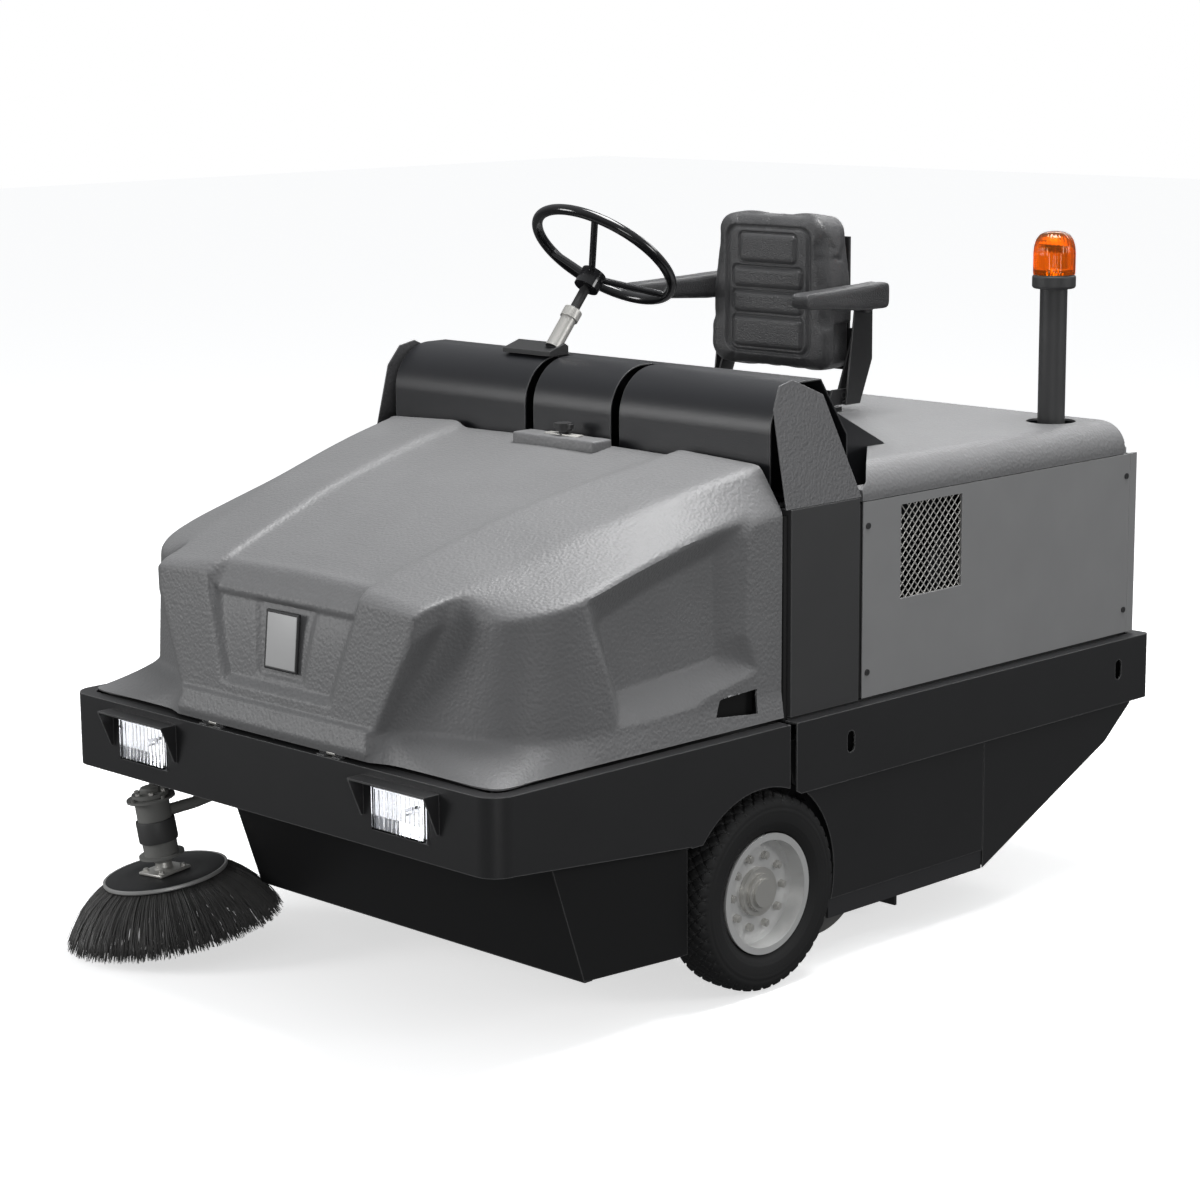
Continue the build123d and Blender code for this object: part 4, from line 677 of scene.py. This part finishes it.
# ------------------------------------------------------------------ front wheels
# Pneumatic tyres, 490 mm by 130 mm, with a diamond block tread and two moulded rings on each wall, on
# pressed silver rims bolted to plated hubs. Half a tyre's section is given, from its middle to its bead.
WHEEL_Y, WHEEL_Z = 908.0, 245.0
TYRE_X = 711.0
TYRE_HALF = [(0, 244.6), (20, 244.0), (40, 242.0), (52, 238.5), (59, 231), (62.5, 222), (64.6, 208),
             (65, 196), (64, 182), (60.5, 168), (55, 157), (50, 150.5), (44, 149.5)]
TYRE_STEPS, TYRE_COLUMNS = 420, 104
BLOCKS, BLOCK_LEAN = 42, 36.0
GROOVE_DEPTH = 4.5
TREAD_EDGE, TREAD_LOW = 63, 214
RING_RADII = ((176, 2.2), (205, 2.0))


def near_groove(turn_share):
    """How far a place lies from the nearest groove of one slant, as a share of the blocks' spacing."""
    share = turn_share % 1
    return np.minimum(share, 1 - share)


profile = np.array([(-x, r) for x, r in reversed(TYRE_HALF[1:])] + TYRE_HALF)
along = np.concatenate([[0], np.cumsum(np.linalg.norm(np.diff(profile, axis=0), axis=1))])
stations = np.linspace(0, along[-1], TYRE_COLUMNS)
across_x, across_r = np.interp(stations, along, profile[:, 0]), np.interp(stations, along, profile[:, 1])
for _ in range(3):
    across_r[1:-1] = across_r[1:-1] / 2 + across_r[:-2] / 4 + across_r[2:] / 4
turns = np.linspace(0, 2 * math.pi, TYRE_STEPS, endpoint=False)
grid_x, grid_t = np.meshgrid(across_x, turns)
grid_r = np.tile(across_r, (TYRE_STEPS, 1))
block_turn, block_slant = grid_t / (2 * math.pi) * BLOCKS, grid_x / BLOCK_LEAN
near = np.minimum(near_groove(block_turn + block_slant), near_groove(block_turn - block_slant))
raised_block = np.clip((near - 0.06) / 0.07, 0, 1)
on_tread = np.clip((TREAD_EDGE - np.abs(grid_x)) / 4, 0, 1) * (grid_r > TREAD_LOW)
grid_r -= GROOVE_DEPTH * (1 - raised_block) * on_tread
rings = sum(np.exp(-((grid_r - radius) / width) ** 2) for radius, width in RING_RADII)
grid_x += np.sign(grid_x) * np.where(grid_r < TREAD_LOW, rings - 0.9, 0)
tyre_quads = []
for i in range(TYRE_STEPS):
    this, following = i * TYRE_COLUMNS, (i + 1) % TYRE_STEPS * TYRE_COLUMNS
    for k in range(TYRE_COLUMNS):
        m = (k + 1) % TYRE_COLUMNS
        tyre_quads.append((this + k, this + m, following + m, following + k))
silver = finish("silver_rim_paint", (0.74, 0.74, 0.73), 0.32, grain=900, relief=0.04, metal=0.35, cloud=0.1)
for side, name in ((1, "left"), (-1, "right")):
    mesh = bpy.data.meshes.new(f"front_tyre_{name}_tread")
    spots = np.stack([side * (TYRE_X + grid_x), WHEEL_Y + grid_r * np.sin(grid_t),
                      WHEEL_Z + grid_r * np.cos(grid_t)], axis=2).reshape(-1, 3)
    mesh.from_pydata([at(*spot) for spot in spots], [], tyre_quads)
    form = bmesh.new()
    form.from_mesh(mesh)
    bmesh.ops.recalc_face_normals(form, faces=form.faces)
    form.to_mesh(mesh)
    form.free()
    only(add(f"front_tyre_{name}_tread", mesh, f"front_wheel_{name}", tyre_rubber, "tyre",
             f"front_tyre_{name}"))
    bpy.ops.object.shade_smooth_by_angle(angle=math.radians(40))
    broken_arris(f"front_rim_{name}", 0.0012, silver, "zinc")
    broken_arris(f"front_hub_{name}", 0.0006, plated, "zinc")

# ------------------------------------------------------------------ side brush disc
# A black moulded disc with a pale steel edge ring, on a plated spindle, and a square plated hub plate
# held by four bolts. The disc leans a little towards the machine's front corner.
BRUSH_AT = np.array((-600.0, 140.0, 178.0))
BRUSH_LEAN = math.radians(8.5)
LEAN_WAY = np.array((-0.595, -0.804, 0.0))
DISC = [(0, 0), (150, 0), (155, 1), (157, 4), (157, 9), (152, 12), (96, 13.5), (90, 11), (30, 11), (0, 11)]
EDGE_RING = [(153, 12.2), (157, 13.2), (159.5, 12), (160, 6), (158, 3), (157.2, 6), (157.2, 11), (153, 12.2)]
SPINDLE = [(0, 11), (40, 11), (44, 13), (44, 20), (26, 22), (22, 26), (20, 40), (0, 40)]
HUB_SIZE, HUB_LOW, HUB_THICK = 96, 12, 8
HUB_BOLT = [(0, 19), (9, 19), (9, 21), (7, 21.5), (7, 26), (5.5, 27), (0, 27)]
HUB_BOLT_RADIUS = 48

brush_up = LEAN_WAY * math.sin(BRUSH_LEAN) + np.array((0, 0, math.cos(BRUSH_LEAN)))
brush_x = np.array((1.0, 0, 0)) - brush_up * brush_up[0]
brush_x /= np.linalg.norm(brush_x)
brush_y = np.cross(brush_up, brush_x)


def on_brush(x, y, z):
    """A place on the side brush, from millimetres off its axis and its disc's underside."""
    return at(*(BRUSH_AT + brush_x * x + brush_y * y + brush_up * z))


def turned(name, section, steps, place, body, material, slot, *stands_for):
    """A part turned round an axis from half its section, radius and height, with closed poles."""
    mesh = bpy.data.meshes.new(name)
    form = bmesh.new()
    rings = []
    for radius, height in section:
        if radius < 1e-6:
            rings.append([form.verts.new(place(0, 0, height))])
            continue
        angles = [2 * math.pi * i / steps for i in range(steps)]
        rings.append([form.verts.new(place(radius * math.cos(angle), radius * math.sin(angle), height))
                      for angle in angles])
    for low, high in zip(rings, rings[1:]):
        for i in range(steps):
            corners = [low[i % len(low)], low[(i + 1) % len(low)],
                       high[(i + 1) % len(high)], high[i % len(high)]]
            separate = list(dict.fromkeys(corners))
            if len(separate) > 2:
                form.faces.new(separate)
    bmesh.ops.recalc_face_normals(form, faces=form.faces)
    form.to_mesh(mesh)
    form.free()
    only(add(name, mesh, body, material, slot, *stands_for))
    bpy.ops.object.shade_smooth_by_angle(angle=math.radians(35))


def bolt_ring(name, section, count, radius, start, body):
    """Hexagonal plated bolt heads on a circle round the side brush's axis."""
    for number in range(count):
        turn = math.radians(start + 360 / count * number)
        cx, cy = radius * math.cos(turn), radius * math.sin(turn)
        turned(f"{name}_{number}", section, 6, lambda x, y, z: on_brush(x + cx, y + cy, z), body, plated,
               "zinc")


turned("brush_disc", DISC, 96, on_brush, "side_brush", matt_plastic, "black_plastic", "side_brush_disc")
ring_steel = finish("pale_ring_steel", (0.55, 0.55, 0.54), 0.38, metal=0.45, cloud=0.15)
turned("brush_edge_ring", EDGE_RING, 96, on_brush, "side_brush", ring_steel, "zinc")
turned("brush_spindle", SPINDLE, 48, on_brush, "side_brush", plated, "zinc")
bpy.ops.object.select_all(action="DESELECT")
bpy.ops.mesh.primitive_cube_add(size=1)
hub_plate = bpy.context.object
hub_plate.name = "brush_hub_plate"
for vertex in hub_plate.data.vertices:
    x, y, z = vertex.co
    vertex.co = on_brush(x * HUB_SIZE, y * HUB_SIZE, HUB_LOW + (z + 0.5) * HUB_THICK)
bevel = hub_plate.modifiers.new("arris", "BEVEL")
bevel.width, bevel.segments = 0.003, 3
only(hub_plate)
bpy.ops.object.modifier_apply(modifier=bevel.name)
bpy.ops.object.shade_smooth_by_angle(angle=math.radians(30))
hub_plate.data.materials.append(plated)
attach(hub_plate, "side_brush")
bolt_ring("brush_bolt", HUB_BOLT, 4, HUB_BOLT_RADIUS, 45, "side_brush")

# ------------------------------------------------------------------ side brush bristles
# Stiff dark plastic bristles set in rings of tufts round the disc, splayed to about 560 mm at the tips.
BRISTLES, BRISTLE_JOINTS = 4400, 5
GOLDEN_TURN = 2.399963

random.seed(11)
corners, sides = [], []
for number in range(BRISTLES):
    turn = number * GOLDEN_TURN + random.uniform(-0.02, 0.02)
    ring = random.random()
    root = 112 + 44 * ring
    tip = 225 + 57 * ring + random.uniform(-10, 0)
    drop = -134 + 10 * random.random() ** 3 + 6 * (1 - ring)
    twist = random.uniform(-0.05, 0.05)
    thick = random.uniform(1.0, 1.5)
    first = len(corners)
    for i in range(BRISTLE_JOINTS + 1):
        t = i / BRISTLE_JOINTS
        radius = root + (tip - root) * (1.25 * t - 0.25 * t * t)
        height = 1 + (drop - 1) * (0.55 * t + 0.45 * t * t)
        spin = turn + twist * t * t
        wide = thick * (1 - 0.35 * t)
        for k in range(3):
            angle = 2 * math.pi * k / 3
            outward, sideways = radius + wide * math.cos(angle), wide * math.sin(angle)
            corners.append(on_brush(outward * math.cos(spin) - sideways * math.sin(spin),
                                    outward * math.sin(spin) + sideways * math.cos(spin), height))
    for i in range(BRISTLE_JOINTS):
        for k in range(3):
            low, low_next = first + i * 3 + k, first + i * 3 + (k + 1) % 3
            sides.append((low, low_next, low_next + 3, low + 3))
    last = first + 3 * BRISTLE_JOINTS
    sides.append((first + 2, first + 1, first))
    sides.append((last, last + 1, last + 2))
tufts = bpy.data.meshes.new("brush_bristles")
tufts.from_pydata(corners, [], sides)
tufts.update()
tufts.shade_smooth()
add("brush_bristles", tufts, "side_brush", bristle, "bristle", "side_brush_bristles")

# ------------------------------------------------------------------ side brush motor, arm and hoses
# A cast hydraulic motor with a flange of six bolts on a cast arm. Two 18 mm rubber hoses run from its
# ports to the clamp on the arm, each with a plated ferrule at its motor end.
HOSE_ROUTES = [
    [(-596, 141, 422), (-596, 141, 446), (-590, 156, 470), (-575, 205, 489), (-560, 286, 486),
     (-553, 392, 456), (-555, 470, 448), (-555, 519, 446)],
    [(-634, 135, 422), (-634, 138, 448), (-634, 156, 474), (-628, 206, 503), (-620, 300, 499),
     (-612, 410, 466), (-608, 470, 454), (-608, 519, 452)],
]
HOSE_RADIUS = 0.009
FERRULE = [(0, -4), (10.5, -4), (11, -2), (11, 18), (10, 20), (9.2, 20)]
FLANGE_BOLT = [(0, 223), (6.5, 223), (6.5, 229), (5.5, 230), (0, 230)]
FLANGE_BOLT_RADIUS = 37
END_CAP = [(0, 223), (24, 223), (25, 225), (25, 234), (22, 238), (12, 240), (0, 240)]
MOTOR_BAND = [(46, 96), (49, 97), (50, 100), (50, 150), (49, 153), (46, 154)]

for number, route in enumerate(HOSE_ROUTES):
    line = bpy.data.curves.new(f"brush_hose_{number}", "CURVE")
    line.dimensions = "3D"
    line.bevel_depth, line.bevel_resolution, line.resolution_u = HOSE_RADIUS, 6, 12
    line.use_fill_caps = True
    run = line.splines.new("NURBS")
    run.points.add(len(route) - 1)
    for point, place in zip(run.points, route):
        point.co = (*at(*place), 1)
    run.order_u, run.use_endpoint_u = 3, True
    bent = bpy.data.objects.new(f"hose_line_{number}", line)
    bpy.context.scene.collection.objects.link(bent)
    bpy.context.view_layer.update()
    mesh = bpy.data.meshes.new_from_object(bent.evaluated_get(bpy.context.evaluated_depsgraph_get()))
    bpy.data.objects.remove(bent)
    mesh.name = f"brush_hose_{number}"
    mesh.shade_smooth()
    stands_for = ("side_brush_hoses",) if number == 0 else ()
    add(f"brush_hose_{number}", mesh, "side_brush_arm", rubber, "rubber", *stands_for)
    px, py, pz = route[0]
    turned(f"hose_ferrule_{number}", FERRULE, 24, lambda x, y, z: at(px + x, py + y, pz + z),
           "side_brush_arm", plated, "zinc")
cast = finish("cast_grey", (0.22, 0.22, 0.21), 0.6, grain=300, relief=0.15, cloud=0.2)
dark_cast = finish("dark_cast", (0.07, 0.07, 0.07), 0.5, grain=300, relief=0.1, cloud=0.2)
bolt_ring("motor_bolt", FLANGE_BOLT, 6, FLANGE_BOLT_RADIUS, 30, "side_brush_arm")
turned("motor_end_cap", END_CAP, 40, on_brush, "side_brush_arm", cast, "cast_grey")
turned("motor_band", MOTOR_BAND, 64, on_brush, "side_brush_arm", dark_cast, "cast_grey")
broken_arris("side_brush_motor", 0.0015, cast, "cast_grey")
broken_arris("side_brush_arm", 0.0012, cast, "cast_grey")

# ------------------------------------------------------------------ beacon
# An amber ribbed glass dome over a bright turning reflector, on a black steel pole with a collar.
BEACON_X, BEACON_Y = 591.0, 2236.0
DOME = [(55.5, 1633.6), (56.2, 1640), (56.2, 1690), (54.5, 1708), (49.5, 1725), (40, 1738), (26, 1745),
        (10, 1747.3), (0, 1747.6)]
DOME_WALL = 3.0
DOME_RIBS, RIB_DEPTH = 28, 0.020


def ribbed_dome(x, y, z):
    """A place on the dome, drawn in a little between its ribs."""
    radius = math.hypot(x, y)
    if radius > 1:
        turn = math.atan2(y, x)
        rib = 1 - RIB_DEPTH * (0.5 + 0.5 * math.cos(DOME_RIBS * turn)) * min(1, radius / 30)
        x, y = x * rib, y * rib
    return at(BEACON_X + x, BEACON_Y + y, z)


broken_arris("beacon_pole", SHEET_ARRIS, pillar_coat, "black_steel")
dress(bright, "reflector", "beacon_reflector")
dome_path = np.array(DOME)
along = np.concatenate([[0], np.cumsum(np.linalg.norm(np.diff(dome_path, axis=0), axis=1))])
stations = np.linspace(0, along[-1], 28)
outer_radii, outer_heights = (np.interp(stations, along, dome_path[:, i]) for i in (0, 1))
outer_line = list(zip(outer_radii, outer_heights))
inner_line = [(max(0, r - DOME_WALL), z - DOME_WALL if r < 50 else z) for r, z in reversed(outer_line)]
amber = finish("amber_glass", (1.0, 0.36, 0.015), 0.06, relief=0.0, cloud=0.0, Transmission_Weight=0.92,
               IOR=1.4)
turned("beacon_glass", outer_line[:-1] + [(0, outer_line[-1][1])] + inner_line[1:] + [outer_line[0]], 224,
       ribbed_dome, "chassis", amber, "amber", "beacon_dome")

# ------------------------------------------------------------------ steering wheel and column
# A gloss black moulded rim with three spokes, on a plated column with black parts at its ends.
COLUMN_PLATED = (1.49, 1.585)

gloss_black = finish("gloss_black", (0.010, 0.010, 0.011), 0.16, grain=200, relief=0.01, Coat_Weight=0.4)
broken_arris("steering_wheel", 0.0015, gloss_black, "gloss_black", angle=50)
broken_arris("steering_column", 0.001, plated, "zinc", second=matt_plastic,
             where=lambda x, y, z: z < COLUMN_PLATED[0] or z > COLUMN_PLATED[1])

# ------------------------------------------------------------------ seat, backrest and armrests
# Foam under dark grained vinyl: a seat pad with side bolsters, a back pad whose middle is sewn into
# four cross panels inside a rolled border, and two moulded armrest pads, on black steel and plastic.
SEAT_MIDDLE = -180.0
BACK_BORDER = (-150, 150, 1392, 1738)
BACK_PANELS = [(-104, 104, 1640, 1722), (-128, 128, 1570, 1628), (-128, 128, 1500, 1560),
               (-128, 128, 1404, 1490)]
BOLSTER_X, BOLSTER_EDGE = 150, 228
SEAT_CHANNELS = (1600, 1680, 1760, 1840)
CLOTH_FRAMES = 20
CLOTH_PRESSURE = 4.0

vinyl = finish("grained_vinyl", (0.062, 0.062, 0.064), 0.36, grain=1100, relief=0.06, pebble=330)


def dent(distance, width):
    """How deep a sewn channel is at a distance from its seam, 1 on the seam."""
    return np.exp(-(distance / width) ** 2)


def box_distance(u, v, box, corner):
    """Distance from a rounded rectangle's outline, negative inside."""
    cu, cv = (box[0] + box[1]) / 2, (box[2] + box[3]) / 2
    du = np.abs(u - cu) - (box[1] - box[0]) / 2 + corner
    dv = np.abs(v - cv) - (box[3] - box[2]) / 2 + corner
    return np.hypot(np.maximum(du, 0), np.maximum(dv, 0)) + np.minimum(np.maximum(du, dv), 0) - corner


def back_seams(p, n):
    """Seams of the back pad's front: a border, and four cross panels, the top one narrower."""
    u, z = p[:, 0] - SEAT_MIDDLE, p[:, 2]
    border = np.abs(box_distance(u, z, BACK_BORDER, 34))
    from_panels = [box_distance(u, z, box, 14) for box in BACK_PANELS]
    ring = np.min(np.abs(from_panels), axis=0)
    within = np.min(from_panels, axis=0)
    lift = np.clip(-within / 14, 0, 1) ** 0.5 * 5
    depth = -7 * dent(border, 6) - 5 * dent(ring, 3.5) + lift
    front = np.clip(-n[:, 1] * 1.6 - 0.3, 0, 1)
    return np.stack([0 * u, -(depth - 1) * front, 0 * u], axis=1)


def seat_seams(p, n):
    """Seams of the seat pad's top: two bolsters and four cross channels."""
    u, v = p[:, 0] - SEAT_MIDDLE, p[:, 1]
    middle = np.abs(u) < BOLSTER_X
    cross = np.min([np.abs(v - y) for y in SEAT_CHANNELS], axis=0)
    depth = -6 * dent(np.abs(np.abs(u) - BOLSTER_X), 6) - 5 * dent(cross, 4) * middle
    inner = np.clip((np.abs(u) - BOLSTER_X - 5) / 30, 0, 1)
    outer = np.clip((BOLSTER_EDGE - np.abs(u)) / 30, 0, 1)
    depth += 5 * inner * outer
    top = np.clip(n[:, 2] * 1.6 - 0.3, 0, 1)
    return np.stack([0 * u, 0 * u, (depth - 1) * top], axis=1)


def arm_seams(p, n):
    """A shallow dish along the top of an armrest pad."""
    top = np.clip(n[:, 2] * 1.6 - 0.4, 0, 1)
    middle = (p[:, 0].min() + p[:, 0].max()) / 2
    return np.stack([0 * top, 0 * top, -2.5 * top * dent(p[:, 0] - middle, 16)], axis=1)


def blow_up(piece, cap):
    """Blows a pad up as cloth under pressure, each point moving no further than a cap."""
    rest = np.array([v.co for v in piece.data.vertices])
    cloth = piece.modifiers.new("foam", "CLOTH")
    cloth.settings.use_pressure = True
    cloth.settings.uniform_pressure_force = CLOTH_PRESSURE
    cloth.settings.effector_weights.gravity = 0.0
    for number in range(1, CLOTH_FRAMES + 1):
        bpy.context.scene.frame_set(number)
    blown = piece.evaluated_get(bpy.context.evaluated_depsgraph_get())
    moved = np.array([v.co for v in blown.data.vertices]) - rest
    piece.modifiers.remove(cloth)
    bpy.context.scene.frame_set(1)
    far = np.linalg.norm(moved, axis=1)[:, None] + 1e-9
    for vertex, place in zip(piece.data.vertices, rest + moved * np.minimum(1, cap / far)):
        vertex.co = Vector(place)


def stuffed(node_name, shrink, voxel, cap, seams):
    """A pad grown from its plain solid: drawn in, blown up over foam, eased, then sewn."""
    node = frame["nodes"][node_name]
    mesh = node.data.copy()
    piece = add(node_name + "_pad", mesh, node["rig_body"], vinyl, "vinyl")
    only(piece)
    bpy.ops.object.mode_set(mode="EDIT")
    bpy.ops.mesh.select_all(action="SELECT")
    bpy.ops.mesh.remove_doubles(threshold=0.00002)
    bpy.ops.object.mode_set(mode="OBJECT")
    low, high = (np.array(corner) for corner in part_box(node_name))
    middle, half = (low + high) / 2, (high - low) / 2
    for vertex in mesh.vertices:
        vertex.co = Vector(middle + (np.array(vertex.co) - middle) * (half - shrink) / half)
    mesh.remesh_voxel_size = voxel
    bpy.ops.object.voxel_remesh()
    blow_up(piece, cap)
    smooth = piece.modifiers.new("ease", "SMOOTH")
    smooth.factor, smooth.iterations = 0.5, 6
    bpy.ops.object.modifier_apply(modifier=smooth.name)
    finer = piece.modifiers.new("finer", "SUBSURF")
    finer.levels = finer.render_levels = 1
    bpy.ops.object.modifier_apply(modifier=finer.name)
    points = np.array([v.co for v in piece.data.vertices])
    normals = np.array([v.normal for v in piece.data.vertices])
    points += seams(points * 1000 + np.array((-FRAME_X, FRAME_Y, 0)), normals) / 1000
    for vertex, place in zip(piece.data.vertices, points):
        vertex.co = Vector(place)
    piece.data.shade_smooth()
    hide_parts(node_name)


stuffed("backrest_cushion", 0.006, 0.0055, 0.010, back_seams)
stuffed("seat_cushion", 0.006, 0.0055, 0.010, seat_seams)
stuffed("armrest_left", 0.002, 0.0045, 0.002, arm_seams)
stuffed("armrest_right", 0.002, 0.0045, 0.002, arm_seams)
broken_arris("seat_back_frame", 0.002, matt_plastic, "black_plastic")
broken_arris("seat_pan", 0.0015, black_coat, "black_steel")
broken_arris("seat_plinth", 0.0015, black_coat, "black_steel")
